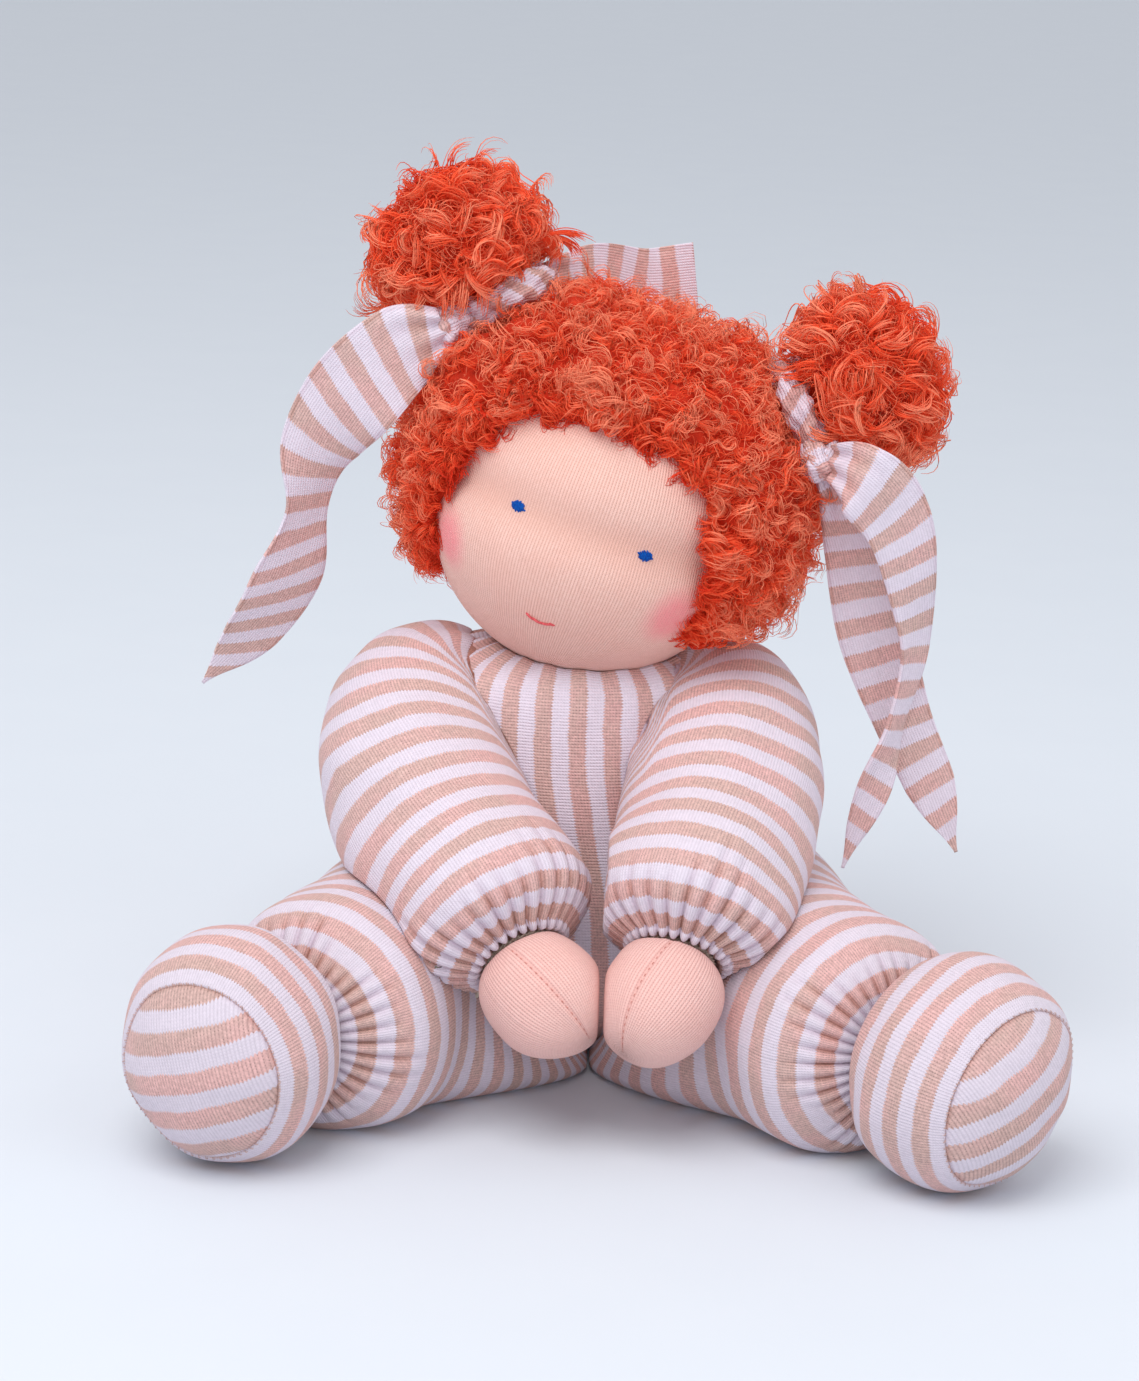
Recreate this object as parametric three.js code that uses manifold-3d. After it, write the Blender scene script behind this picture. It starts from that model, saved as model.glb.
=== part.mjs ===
/**
 * A seated soft doll, about 38 cm tall when it stands: a wool-stuffed body in striped jersey, a round
 * knitted head with stitched features, a curly wig with two gathered buns, and a striped bow on each bun.
 *
 * Frame: millimetres, +Z up, the doll looks along -Y, and its own left side is +X.
 * The origin is the middle of the flat patch that the doll sits on.
 */
import * as THREE from 'three';
import { mergeVertices } from 'three/addons/utils/BufferGeometryUtils.js';
import Module from 'manifold-3d';

const wasm = await Module();
wasm.setup();

// Cloth, thread and fits
const cloth = 1.2;
const restGap = 0.3;
const swingGap = 0.8;
const threadRadius = 0.7;
const threadGap = 0.5;
const floorSink = 0.5;

// Body
const bodyHeight = 142;
const hipHeight = 40;
const hipHalfWidth = 50;
const hipHalfDepth = 40;
const chestHalfWidth = 51;
const chestHalfDepth = 35;
const chestForward = 3;
const chestSideways = -10;
const shoulderSlope = 24;
const shoulderBluntness = 3;

// Head, neck and face
const headRadius = 54;
const headSunk = 12;
const headSideways = -3.5;
const headForward = 6;
const headLean = 17;
const headTilt = 12;
const faceTurn = 7;
const neckOpening = 12;
const neckRadius = 14;
const neckDepth = 24;
const neckTieDrop = 7.2;
const eyeLineElevation = 2;
const eyeLineDepth = 2.2;
const eyeLineSpread = 11;
const eyeAzimuth = 25;
const eyeWidth = 5.2;
const eyeHeight = 3.6;
const featureThickness = 1.6;
const mouthElevation = -34;
const mouthAzimuth = -4;
const mouthWidth = 9;
const mouthHeight = 1.8;

// Wig and buns
const wigRadius = 75;
const hairlineForward = 28;
const hairlineTilt = 22;
const hairlineRounding = 7;
const bunAngle = 45;
const bunReach = 100;
const bunHalfWidth = 31.5;
const bunHalfHeight = 29;

// Bows
const wrapReach = 76;
const wrapRadius = 15.5;
const wrapHalfWidth = 5.5;
const knotRadius = 8;
const knotOutward = 13;
const knotForward = 18;
const ribbonThickness = 1.6;
const ribbonWidth = 24;

// Arms: every place is measured from the middle of its shoulder seam
const shoulderHeight = 112;
const shoulderHalfWidth = 46;
const shoulderBack = 2;
const shoulderSeamRadius = 42;
const sleeveRadius = 32.5;
const sleeveTopRadius = 31;
const cuffRounding = 17;
const handLength = 45;
const handHalfWidth = 19.5;
const handHalfDepth = 18.5;
const wristRadius = 10.5;
const wristDepth = 9;
const handSunk = 4.5;
const handsMeet = 2.8;

// Legs
const legRadius = 41;
const legEndRadius = 37;
const legEndRounding = 13;
const ankleRadius = 11;
const ankleDepth = 9;
const footLength = 74;
const footWidth = 67;
const footThickness = 66;
const ankleToFoot = 16;
const footOutward = 12;
const soleRadius = 27;
const crotchGap = 1.5;

// Poses in which the soft limbs lie
const armPoses = [
  {
    name: 'right',
    side: -1,
    places: [[-28, 2, -4], [0, -4, 0], [4, -24, -10], [-8, -52, -30], [-22, -73, -42], [-33, -87, -55]]
  },
  {
    name: 'left',
    side: 1,
    places: [[-28, 2, -4], [1, -4, 0], [5, -24, -9], [1, -53, -28], [-5, -75, -39], [-10, -89, -53]]
  }
];
const legPoses = [
  {
    name: 'right',
    side: -1,
    plan: [[24, 20], [44, -4], [67, -52], [93, -109]],
    soleTurn: 20,
    toeRoll: 5
  },
  {
    name: 'left',
    side: 1,
    plan: [[24, 20], [44, -4], [62, -54], [95, -111]],
    soleTurn: 40,
    toeRoll: 30
  }
];

// Ribbon ends, each measured from the middle of its knot
const tailPoses = [
  {
    name: 'right_bow_long_tail',
    side: -1,
    places: [[-2, -6, 0], [-16, -7, -7], [-31, -8, -25], [-40, -5, -44], [-43, 0, -66], [-51, 4, -91],
      [-65, 7, -109], [-80, 7, -124]],
    widths: [0.45, 0.85, 1.1, 1.0, 0.55, 0.85, 0.75, 0.15],
    facing: [[0.5, 0.2, -0.9], [0.7, 0.1, -0.8], [0.8, 0, -0.5], [1, 0.1, -0.3], [0.5, 0.9, 0],
      [0.9, 0.2, -0.4], [0.8, 0.1, -0.6], [0.7, 0, -0.7]]
  },
  {
    name: 'left_bow_front_tail',
    side: 1,
    places: [[3, -7, -1], [13, -17, -2], [27, -15, -13], [35, -11, -34], [37, -4, -58], [30, -2, -85],
      [23, -3, -107], [14, -3, -136]],
    widths: [0.45, 0.8, 0.9, 0.8, 0.6, 0.5, 0.6, 0.15],
    facing: [[0.2, -0.3, 0.9], [0.5, -0.1, 0.9], [0.9, 0, 0.5], [1, 0.2, 0.2], [0.8, 0.6, 0], [0.6, 0.8, 0],
      [1, 0.3, -0.2], [1, 0.1, -0.2]]
  },
  {
    name: 'left_bow_back_tail',
    side: 1,
    places: [[3, -2, -6], [13, 4, -28], [18, 7, -59], [28, 8, -88], [39, 7, -109], [51, 6, -132]],
    widths: [0.3, 0.55, 0.9, 0.9, 0.8, 0.15],
    facing: [[1, -0.4, 0], [1, -0.4, 0], [1, 0, 0.3], [1, 0, 0.4], [1, 0, 0.3], [1, 0, 0.3]]
  }
];
const backEnd = {
  places: [[19, 8, 7], [34, 23, 15], [50, 33, 11], [66, 34, 6]],
  widths: [0.25, 0.6, 0.75, 0.85],
  facing: [[0, -0.3, 1], [0, -0.3, 1], [0.1, -0.4, 1], [0.15, -0.4, 1]]
};

// How full the rounded ends are: 2 is an ellipse, more is squarer
const roundEnd = 2;
const gatheredEnd = 2.4;
const soleEnd = 2.2;

// How finely each form is faceted
const bodyRings = 11;
const bodySides = 16;
const limbRings = 10;
const limbSides = 12;
const footRings = 7;
const handRings = 7;
const handSides = 10;
const headSides = 16;
const headRings = 11;
const wigSides = 16;
const wigRings = 8;
const bunSides = 14;
const bunRings = 6;
const wrapSides = 6;
const knotSides = 12;
const featureRings = 5;
const featureSides = 8;
const ribbonSteps = 14;
const threadSides = 4;
const threadSteps = 12;
const turnedSides = 20;

const reachAll = 600;
const weld = 1e-4;
const upwards = new THREE.Vector3(0, 0, 1);
const sideways = new THREE.Vector3(1, 0, 0);

const jersey = { color: 0xdcb9aa, roughness: 0.92, metalness: 0 };
const skinJersey = { color: 0xe8b494, roughness: 0.85, metalness: 0 };
const handJersey = { color: 0xf2c0aa, roughness: 0.85, metalness: 0 };
const mohair = { color: 0xc94a22, roughness: 0.95, metalness: 0 };
const wool = { color: 0xe9e2d2, roughness: 1, metalness: 0 };
const cottonThread = { color: 0xe6d8c8, roughness: 0.8, metalness: 0 };
const blueThread = { color: 0x1a5fae, roughness: 0.6, metalness: 0 };
const pinkThread = { color: 0xe0695f, roughness: 0.6, metalness: 0 };

function radians(degrees) {
  return THREE.MathUtils.degToRad(degrees);
}

/** The indexed geometry of a closed surface, without the triangles that shrink to a line or a point. */
function welded(geometry) {
  const bare = geometry.clone();
  bare.deleteAttribute('normal');
  bare.deleteAttribute('uv');
  const merged = mergeVertices(bare, weld);
  const corners = merged.index.array;
  const kept = [];
  for (let i = 0; i < corners.length; i += 3) {
    const [a, b, c] = corners.slice(i, i + 3);
    if (a !== b && b !== c && c !== a) kept.push(a, b, c);
  }
  merged.setIndex(kept);
  return merged;
}

function asSolid(geometry) {
  const closed = welded(geometry);
  const vertProperties = Float32Array.from(closed.attributes.position.array);
  const triVerts = Uint32Array.from(closed.index.array);
  const solid = new wasm.Manifold(new wasm.Mesh({ numProp: 3, vertProperties, triVerts }));
  if (solid.volume() > 0) return solid;
  return new wasm.Manifold(new wasm.Mesh({ numProp: 3, vertProperties, triVerts: triVerts.reverse() }));
}

function asGeometry(solid) {
  const mesh = solid.getMesh();
  const geometry = new THREE.BufferGeometry();
  geometry.setAttribute('position', new THREE.BufferAttribute(Float32Array.from(mesh.vertProperties), 3));
  geometry.setIndex([...mesh.triVerts]);
  geometry.computeVertexNormals();
  return geometry;
}

/** The closed surface moved inwards by a depth, or outwards by a negative one. */
function inset(geometry, depth) {
  const moved = welded(geometry);
  moved.computeVertexNormals();
  const place = moved.attributes.position;
  const normal = moved.attributes.normal;
  for (let i = 0; i < place.count; i++) {
    place.setXYZ(
      i,
      place.getX(i) - depth * normal.getX(i),
      place.getY(i) - depth * normal.getY(i),
      place.getZ(i) - depth * normal.getZ(i)
    );
  }
  moved.deleteAttribute('normal');
  return moved;
}

/** Everything on the side of a plane that its normal points to. */
function beyond(point, normal) {
  const box = new THREE.BoxGeometry(reachAll, reachAll, reachAll);
  box.translate(0, 0, reachAll / 2);
  box.applyQuaternion(new THREE.Quaternion().setFromUnitVectors(upwards, normal.clone().normalize()));
  box.translate(point.x, point.y, point.z);
  return asSolid(box);
}

/** A round bar between two points. */
function bar(from, to, radius, sides = turnedSides) {
  const axis = to.clone().sub(from);
  const cylinder = new THREE.CylinderGeometry(radius, radius, axis.length(), sides);
  const turn = new THREE.Quaternion().setFromUnitVectors(new THREE.Vector3(0, 1, 0), axis.normalize());
  cylinder.applyQuaternion(turn);
  const middle = from.clone().add(to).divideScalar(2);
  cylinder.translate(middle.x, middle.y, middle.z);
  return asSolid(cylinder);
}

/** A ring of thread round an axis. */
function threadRing(centre, axis, radius, steps = threadSteps) {
  const ring = new THREE.TorusGeometry(radius, threadRadius, threadSides, steps);
  ring.applyQuaternion(new THREE.Quaternion().setFromUnitVectors(upwards, axis));
  ring.translate(centre.x, centre.y, centre.z);
  return asSolid(ring);
}

/** How far out the flats of a round faceted solid must lie to stay clear of a radius. */
function clearOf(radius, sides) {
  return radius / Math.cos(Math.PI / sides) ** 2;
}

/** The share of its full size that a stuffed form has near an end, at a distance from that end. */
function roundedEnd(distance, rounding, bluntness) {
  if (distance >= rounding) return 1;
  return (1 - (1 - distance / rounding) ** bluntness) ** (1 / bluntness);
}

/** A closed form with oval sections along a curve, its rings set closer towards both ends. */
function stuffedForm({ spine, rings, sides, sizeAt, lifted }) {
  const places = [];
  const corners = [];
  const length = spine.getLength();
  for (let ring = 1; ring < rings; ring++) {
    const share = (1 - Math.cos((Math.PI * ring) / rings)) / 2;
    const centre = spine.getPointAt(share);
    const forward = spine.getTangentAt(share);
    const across = new THREE.Vector3().crossVectors(forward, lifted).normalize();
    const lift = new THREE.Vector3().crossVectors(across, forward);
    const size = sizeAt(share * length, length);
    for (let side = 0; side < sides; side++) {
      const angle = (2 * Math.PI * side) / sides;
      const place = centre.clone();
      place.addScaledVector(across, size.across * Math.cos(angle));
      place.addScaledVector(lift, size.high * Math.sin(angle));
      places.push(...place);
    }
  }
  const first = places.length / 3;
  places.push(...spine.getPointAt(0), ...spine.getPointAt(1));
  for (let side = 0; side < sides; side++) {
    const next = (side + 1) % sides;
    corners.push(first, side, next);
    for (let ring = 0; ring < rings - 2; ring++) {
      const here = ring * sides;
      corners.push(here + side, here + sides + side, here + next);
      corners.push(here + next, here + sides + side, here + sides + next);
    }
    const last = (rings - 2) * sides;
    corners.push(first + 1, last + next, last + side);
  }
  const geometry = new THREE.BufferGeometry();
  geometry.setAttribute('position', new THREE.Float32BufferAttribute(places, 3));
  geometry.setIndex(corners);
  return asGeometry(asSolid(geometry));
}

/** A cloth casing and what fills it, both from one form: a function that gives it at any depth. */
function sewn(formAt, openings) {
  let casing = formAt(0).subtract(formAt(cloth));
  let filling = formAt(cloth + restGap);
  for (const opening of openings) {
    casing = casing.subtract(opening);
    filling = filling.subtract(opening);
  }
  return { casing, filling };
}

const doll = new THREE.Group();

function addPiece(name, shape, finish, group = doll) {
  const geometry = shape.isBufferGeometry ? shape : asGeometry(shape);
  const piece = new THREE.Mesh(geometry, new THREE.MeshStandardMaterial(finish));
  piece.name = name;
  group.add(piece);
}

const headCentre = new THREE.Vector3(headSideways, -headForward, bodyHeight + headRadius - headSunk);

/** The body's half sizes and its lean at a height, between the hips and the chest. */
function bodyAt(height) {
  const upper = THREE.MathUtils.smoothstep(height, hipHeight, shoulderHeight);
  return {
    halfWidth: THREE.MathUtils.lerp(hipHalfWidth, chestHalfWidth, upper),
    halfDepth: THREE.MathUtils.lerp(hipHalfDepth, chestHalfDepth, upper),
    shift: chestSideways * upper,
    forward: chestForward * upper
  };
}

/** The body: an egg on a round seat, narrower at the chest, drawn in to sloping shoulders. */
function bodyOutline() {
  const spine = new THREE.LineCurve3(
    new THREE.Vector3(0, 0, -floorSink),
    new THREE.Vector3(0, 0, bodyHeight)
  );
  const upright = stuffedForm({
    spine,
    rings: bodyRings,
    sides: bodySides,
    lifted: new THREE.Vector3(0, -1, 0),
    sizeAt(distance, length) {
      const share = roundedEnd(distance, hipHeight, roundEnd)
        * roundedEnd(length - distance, shoulderSlope, shoulderBluntness);
      const { halfWidth, halfDepth } = bodyAt(distance);
      return { across: halfWidth * share, high: halfDepth * share };
    }
  });
  const place = upright.attributes.position;
  for (let i = 0; i < place.count; i++) {
    const { shift, forward } = bodyAt(place.getZ(i));
    place.setX(i, place.getX(i) + shift);
    place.setY(i, place.getY(i) - forward);
  }
  return upright;
}

const bodyForm = bodyOutline();
const floor = (depth) => beyond(new THREE.Vector3(0, 0, depth), new THREE.Vector3(0, 0, -1));

function shoulderPivot(side) {
  return new THREE.Vector3(chestSideways + side * shoulderHalfWidth, -shoulderBack, shoulderHeight);
}

/** The flat round seat of one sleeve on the body, from the seam outwards. */
function shoulderSeat(side) {
  const seam = shoulderPivot(side);
  const outside = seam.clone().addScaledVector(sideways, side * hipHalfWidth);
  return bar(seam, outside, shoulderSeamRadius);
}

function addBody() {
  const formAt = (depth) => asSolid(inset(bodyForm, depth)).subtract(floor(depth));
  const headSeat = sphereAt(headCentre, clearOf(headRadius + swingGap, turnedSides), turnedSides);
  const neckTop = new THREE.Vector3(headCentre.x, headCentre.y, bodyHeight);
  const neckFoot = neckTop.clone().setZ(headCentre.z - headRadius - neckDepth - swingGap);
  const neckWell = bar(neckFoot, neckTop, neckRadius + threadGap + 2 * threadRadius + swingGap);
  const openings = [headSeat, neckWell, shoulderSeat(-1), shoulderSeat(1)];
  const { casing, filling } = sewn(formAt, openings);
  addPiece('body_cover', casing, jersey);
  addPiece('body_filling', filling, wool);
  const neckTie = neckTop.clone().setZ(headCentre.z - headRadius - swingGap - neckTieDrop);
  const neck = bar(neckFoot.clone().setZ(neckFoot.z + swingGap), neckTop, neckRadius, limbSides);
  addPiece('neck', neck.subtract(headSeat), skinJersey);
  const tieRadius = neckRadius + threadGap + threadRadius;
  addPiece('neck_tie_thread', threadRing(neckTie, upwards, tieRadius), cottonThread);
}

/** Radius of the head's outer surface: a ball, drawn in along the line of the eyes. */
function headRadiusAt(elevation) {
  const away = (elevation - eyeLineElevation) / eyeLineSpread;
  return headRadius - eyeLineDepth * Math.exp(-away * away);
}

/** Profile points of the head at a depth under its surface, from its foot to its crown. */
function headProfile(depth) {
  const points = [];
  for (let step = 0; step <= headRings; step++) {
    const elevation = THREE.MathUtils.lerp(-90, 90, step / headRings);
    const radius = headRadiusAt(elevation) - depth;
    const out = step % headRings === 0 ? 0 : radius * Math.cos(radians(elevation));
    points.push(new THREE.Vector2(out, radius * Math.sin(radians(elevation))));
  }
  return points;
}

/** A turned solid about Z from a profile of distances out and up. */
function turned(points, sides) {
  const geometry = new THREE.LatheGeometry(points, sides);
  geometry.rotateX(Math.PI / 2);
  return asSolid(geometry);
}

function onHead(azimuth, elevation, outwards) {
  const radius = headRadiusAt(elevation) + outwards;
  const level = radius * Math.cos(radians(elevation));
  return new THREE.Vector3(
    level * Math.sin(radians(azimuth)),
    -level * Math.cos(radians(azimuth)),
    radius * Math.sin(radians(elevation))
  );
}

/** A small stitched pad on the head: an oval along its surface, still to be hollowed to sit on it. */
function stitchedPad(azimuth, elevation, width, height) {
  const centre = onHead(azimuth, elevation, restGap);
  const outward = centre.clone().normalize();
  const along = new THREE.Vector3().crossVectors(upwards, outward).normalize();
  const spine = new THREE.LineCurve3(
    centre.clone().addScaledVector(along, -width / 2),
    centre.clone().addScaledVector(along, width / 2)
  );
  const pad = stuffedForm({
    spine,
    rings: featureRings,
    sides: featureSides,
    lifted: outward,
    sizeAt: (distance, length) => {
      const share = roundedEnd(Math.min(distance, length - distance), length / 2, roundEnd);
      return { across: (height / 2) * share, high: featureThickness * share };
    }
  });
  return asSolid(pad);
}

/** The wig: a thick cap of curls that ends in one leaning plane round the face. */
function wigCap() {
  const inner = clearOf(headRadius + restGap, wigSides);
  const outerStart = Math.asin(hairlineForward / wigRadius);
  const innerStart = Math.asin(hairlineForward / inner);
  const points = [];
  for (let step = 0; step <= wigRings; step++) {
    const angle = THREE.MathUtils.lerp(-Math.PI / 2, outerStart, step / wigRings);
    const out = step === 0 ? 0 : wigRadius * Math.cos(angle);
    points.push(new THREE.Vector2(out, wigRadius * Math.sin(angle)));
  }
  const bulge = (wigRadius * Math.cos(outerStart) + inner * Math.cos(innerStart)) / 2;
  points.push(new THREE.Vector2(bulge, hairlineForward + hairlineRounding));
  for (let step = 0; step <= wigRings; step++) {
    const angle = THREE.MathUtils.lerp(innerStart, -Math.PI / 2, step / wigRings);
    const out = step === wigRings ? 0 : inner * Math.cos(angle);
    points.push(new THREE.Vector2(out, inner * Math.sin(angle)));
  }
  const face = new THREE.Vector3(0, -Math.cos(radians(hairlineTilt)), -Math.sin(radians(hairlineTilt)));
  const cap = new THREE.LatheGeometry(points, wigSides);
  cap.applyQuaternion(new THREE.Quaternion().setFromUnitVectors(new THREE.Vector3(0, 1, 0), face));
  return asSolid(cap);
}

/** A gathered bun of curls on a short stalk, along +Z from the head's centre. */
function bunForm() {
  const shelf = wrapReach + wrapHalfWidth + restGap;
  const stalk = (wrapRadius - wrapHalfWidth - restGap) * Math.cos(Math.PI / bunSides);
  const start = Math.asin((shelf - bunReach) / bunHalfHeight);
  const points = [new THREE.Vector2(0, wigRadius - swingGap), new THREE.Vector2(stalk, wigRadius - swingGap)];
  points.push(new THREE.Vector2(stalk, shelf));
  for (let step = 0; step <= bunRings; step++) {
    const angle = THREE.MathUtils.lerp(start, Math.PI / 2, step / bunRings);
    const out = step === bunRings ? 0 : bunHalfWidth * Math.cos(angle);
    points.push(new THREE.Vector2(out, bunReach + bunHalfHeight * Math.sin(angle)));
  }
  return turned(points, bunSides);
}

function wrapRing(grown) {
  const ring = new THREE.TorusGeometry(wrapRadius, wrapHalfWidth + grown, wrapSides, bunSides);
  ring.translate(0, 0, wrapReach);
  return asSolid(ring);
}

const leaning = new THREE.Matrix4().makeRotationY(radians(headLean));
leaning.multiply(new THREE.Matrix4().makeRotationZ(radians(-faceTurn))).setPosition(headCentre);
const bunTurn = (side) => new THREE.Matrix4().makeRotationY(radians(side * bunAngle));
const knotPlace = (side) => new THREE.Vector3(side * knotOutward, -knotForward, wrapReach);

function sphereAt(centre, radius, sides) {
  const sphere = new THREE.SphereGeometry(radius, sides, sides / 2);
  sphere.translate(centre.x, centre.y, centre.z);
  return asSolid(sphere);
}

function transformed(solid, matrix) {
  return solid.transform(matrix.elements);
}

function addHead() {
  const head = new THREE.Group();
  head.applyMatrix4(leaning);
  doll.add(head);
  const opening = bar(new THREE.Vector3(0, 0, -headRadius - cloth), new THREE.Vector3(), neckOpening);
  const cover = turned(headProfile(0), headSides).subtract(turned(headProfile(cloth), headSides));
  addPiece('head_cover', cover.subtract(opening), skinJersey, head);
  const coreDepth = cloth + restGap;
  const core = turned(headProfile(coreDepth), headSides);
  const eyeLevel = onHead(0, eyeLineElevation, -coreDepth - threadRadius);
  const tieCentre = new THREE.Vector3(0, 0, eyeLevel.z);
  const tieRadius = Math.hypot(eyeLevel.x, eyeLevel.y) * Math.cos(Math.PI / headSides);
  const half = threadRadius + restGap;
  const inside = tieRadius - half;
  const groove = [[inside, -half], [headRadius, -half], [headRadius, half], [inside, half]];
  const channel = [...groove, groove[0]].map(([out, up]) => new THREE.Vector2(out, tieCentre.z + up));
  addPiece('head_filling', core.subtract(turned(channel, turnedSides)), wool, head);
  addPiece('eye_line_thread', threadRing(tieCentre, upwards, tieRadius, turnedSides), cottonThread, head);

  const ball = turned(headProfile(-restGap), headSides);
  const pad = (azimuth, elevation, width, height) => {
    return stitchedPad(azimuth, elevation, width, height).subtract(ball);
  };
  addPiece('right_eye', pad(-eyeAzimuth, eyeLineElevation, eyeWidth, eyeHeight), blueThread, head);
  addPiece('left_eye', pad(eyeAzimuth, eyeLineElevation, eyeWidth, eyeHeight), blueThread, head);
  addPiece('mouth', pad(mouthAzimuth, mouthElevation, mouthWidth, mouthHeight), pinkThread, head);

  let wig = wigCap();
  const shoulderTop = shoulderHeight + sleeveRadius + swingGap;
  const settled = new THREE.Matrix4().extractRotation(leaning).invert();
  for (const tilt of [0, headTilt]) {
    const down = upwards.clone().negate().applyAxisAngle(new THREE.Vector3(0, 1, 0), radians(tilt));
    down.applyMatrix4(settled);
    const level = down.clone().multiplyScalar(headCentre.z - shoulderTop);
    wig = wig.subtract(beyond(level, down));
  }
  const scalp = sphereAt(new THREE.Vector3(), clearOf(wigRadius + restGap, turnedSides), turnedSides);
  for (const side of [-1, 1]) {
    const name = side < 0 ? 'right' : 'left';
    const turn = bunTurn(side);
    const knot = sphereAt(knotPlace(side), knotRadius, knotSides);
    const bun = bunForm().subtract(sphereAt(knotPlace(side), knotRadius + restGap, knotSides));
    wig = wig.subtract(transformed(wrapRing(restGap), turn));
    addPiece(`${name}_bun`, transformed(bun, turn).subtract(scalp), mohair, head);
    addPiece(`${name}_bow_wrap`, transformed(wrapRing(0), turn), jersey, head);
    const knotCut = transformed(knot.subtract(wrapRing(restGap)), turn).subtract(scalp);
    addPiece(`${name}_bow_knot`, knotCut, jersey, head);
  }
  addPiece('wig', wig, mohair, head);
}

/** A flat band of doubled cloth along a curve, its width and its facing changing from place to place. */
function ribbon({ places, widths, facing }, origin) {
  const points = places.map(([x, y, z]) => new THREE.Vector3(x, y, z).add(origin));
  const spine = new THREE.CatmullRomCurve3(points);
  const widthCurve = new THREE.CatmullRomCurve3(widths.map((share) => new THREE.Vector3(share, 0, 0)));
  const facingCurve = new THREE.CatmullRomCurve3(facing.map((row) => new THREE.Vector3(...row)));
  const corners = [];
  const index = [];
  for (let step = 0; step <= ribbonSteps; step++) {
    const share = step / ribbonSteps;
    const centre = spine.getPoint(share);
    const forward = spine.getTangent(share);
    const across = facingCurve.getPoint(share);
    across.addScaledVector(forward, -across.dot(forward)).normalize();
    const outward = new THREE.Vector3().crossVectors(forward, across);
    const half = (ribbonWidth * widthCurve.getPoint(share).x) / 2;
    for (const [u, v] of [[-1, -1], [1, -1], [1, 1], [-1, 1]]) {
      const corner = centre.clone().addScaledVector(across, u * half);
      corners.push(...corner.addScaledVector(outward, (v * ribbonThickness) / 2));
    }
  }
  for (let step = 0; step < ribbonSteps; step++) {
    for (let edge = 0; edge < 4; edge++) {
      const here = step * 4 + edge;
      const next = step * 4 + ((edge + 1) % 4);
      index.push(here, next, here + 4, next, next + 4, here + 4);
    }
  }
  const end = ribbonSteps * 4;
  index.push(0, 2, 1, 0, 3, 2, end, end + 1, end + 2, end, end + 2, end + 3);
  const geometry = new THREE.BufferGeometry();
  geometry.setAttribute('position', new THREE.Float32BufferAttribute(corners, 3));
  geometry.setIndex(index);
  return asSolid(geometry);
}

function addTails() {
  for (const tail of tailPoses) {
    const knot = knotPlace(tail.side).applyMatrix4(bunTurn(tail.side)).applyMatrix4(leaning);
    const band = ribbon(tail, knot);
    const knotSpace = sphereAt(knot, clearOf(knotRadius + restGap, knotSides), knotSides);
    addPiece(tail.name, band.subtract(knotSpace), jersey);
  }
  const wrapCentre = new THREE.Vector3(0, 0, wrapReach).applyMatrix4(bunTurn(-1)).applyMatrix4(leaning);
  addPiece('right_bow_back_end', ribbon(backEnd, wrapCentre), jersey);
}

/** One leg's outer form: a fat tube that lies on the floor and bends outwards at the knee. */
function legOutline(pose) {
  const points = pose.plan.map(([x, y], place) => {
    const height = place < 2 ? legRadius : legEndRadius;
    return new THREE.Vector3(pose.side * x, y, height - floorSink);
  });
  const spine = new THREE.CatmullRomCurve3(points);
  const form = stuffedForm({
    spine,
    rings: limbRings,
    sides: limbSides,
    lifted: upwards,
    sizeAt(distance, length) {
      const radius = THREE.MathUtils.lerp(legRadius, legEndRadius, distance / length);
      const share = roundedEnd(distance, legRadius, roundEnd)
        * roundedEnd(length - distance, legEndRounding, gatheredEnd);
      return { across: radius * share, high: radius * share };
    }
  });
  return { spine, form };
}

const legForms = legPoses.map(legOutline);

/** The round space that the leg turns in, as wide as the body is at the leg's height. */
function hipSeat(side) {
  const axisHeight = hipHeight - floorSink;
  const widest = Math.max(...[hipHeight, hipHeight + legRadius].map((height) => {
    const { halfWidth, shift } = bodyAt(height);
    return halfWidth + side * shift;
  }));
  const middle = new THREE.Vector3(0, 0, axisHeight);
  const outside = middle.clone().setX(side * (widest + swingGap));
  return bar(middle, outside, clearOf(legRadius + swingGap, turnedSides));
}

function addLeg(pose, { spine, form }) {
  const inner = sideways.clone().multiplyScalar(-pose.side);
  const nearCrotch = (depth) => beyond(inner.clone().multiplyScalar(-(crotchGap / 2 + depth)), inner);
  const formAt = (depth) => asSolid(inset(form, depth)).subtract(floor(depth)).subtract(nearCrotch(depth));
  const ankle = spine.getPointAt(1);
  const axis = spine.getTangentAt(1);
  const along = (point, distance) => point.clone().addScaledVector(axis, distance);
  const hole = ankleRadius + threadGap + 2 * threadRadius + restGap;
  const well = bar(along(ankle, -ankleDepth - swingGap), along(ankle, ankleDepth), hole);
  const openings = [hipSeat(pose.side), asSolid(inset(bodyForm, -swingGap)), well];
  const { casing, filling } = sewn(formAt, openings);
  addPiece(`${pose.name}_leg_cover`, casing, jersey);
  addPiece(`${pose.name}_leg_filling`, filling, wool);
  const tie = threadRing(along(ankle, -2 * threadRadius), axis, ankleRadius + threadGap + threadRadius);
  addPiece(`${pose.name}_ankle_thread`, tie, cottonThread);
  addFoot(pose, ankle, axis);
}

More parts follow.
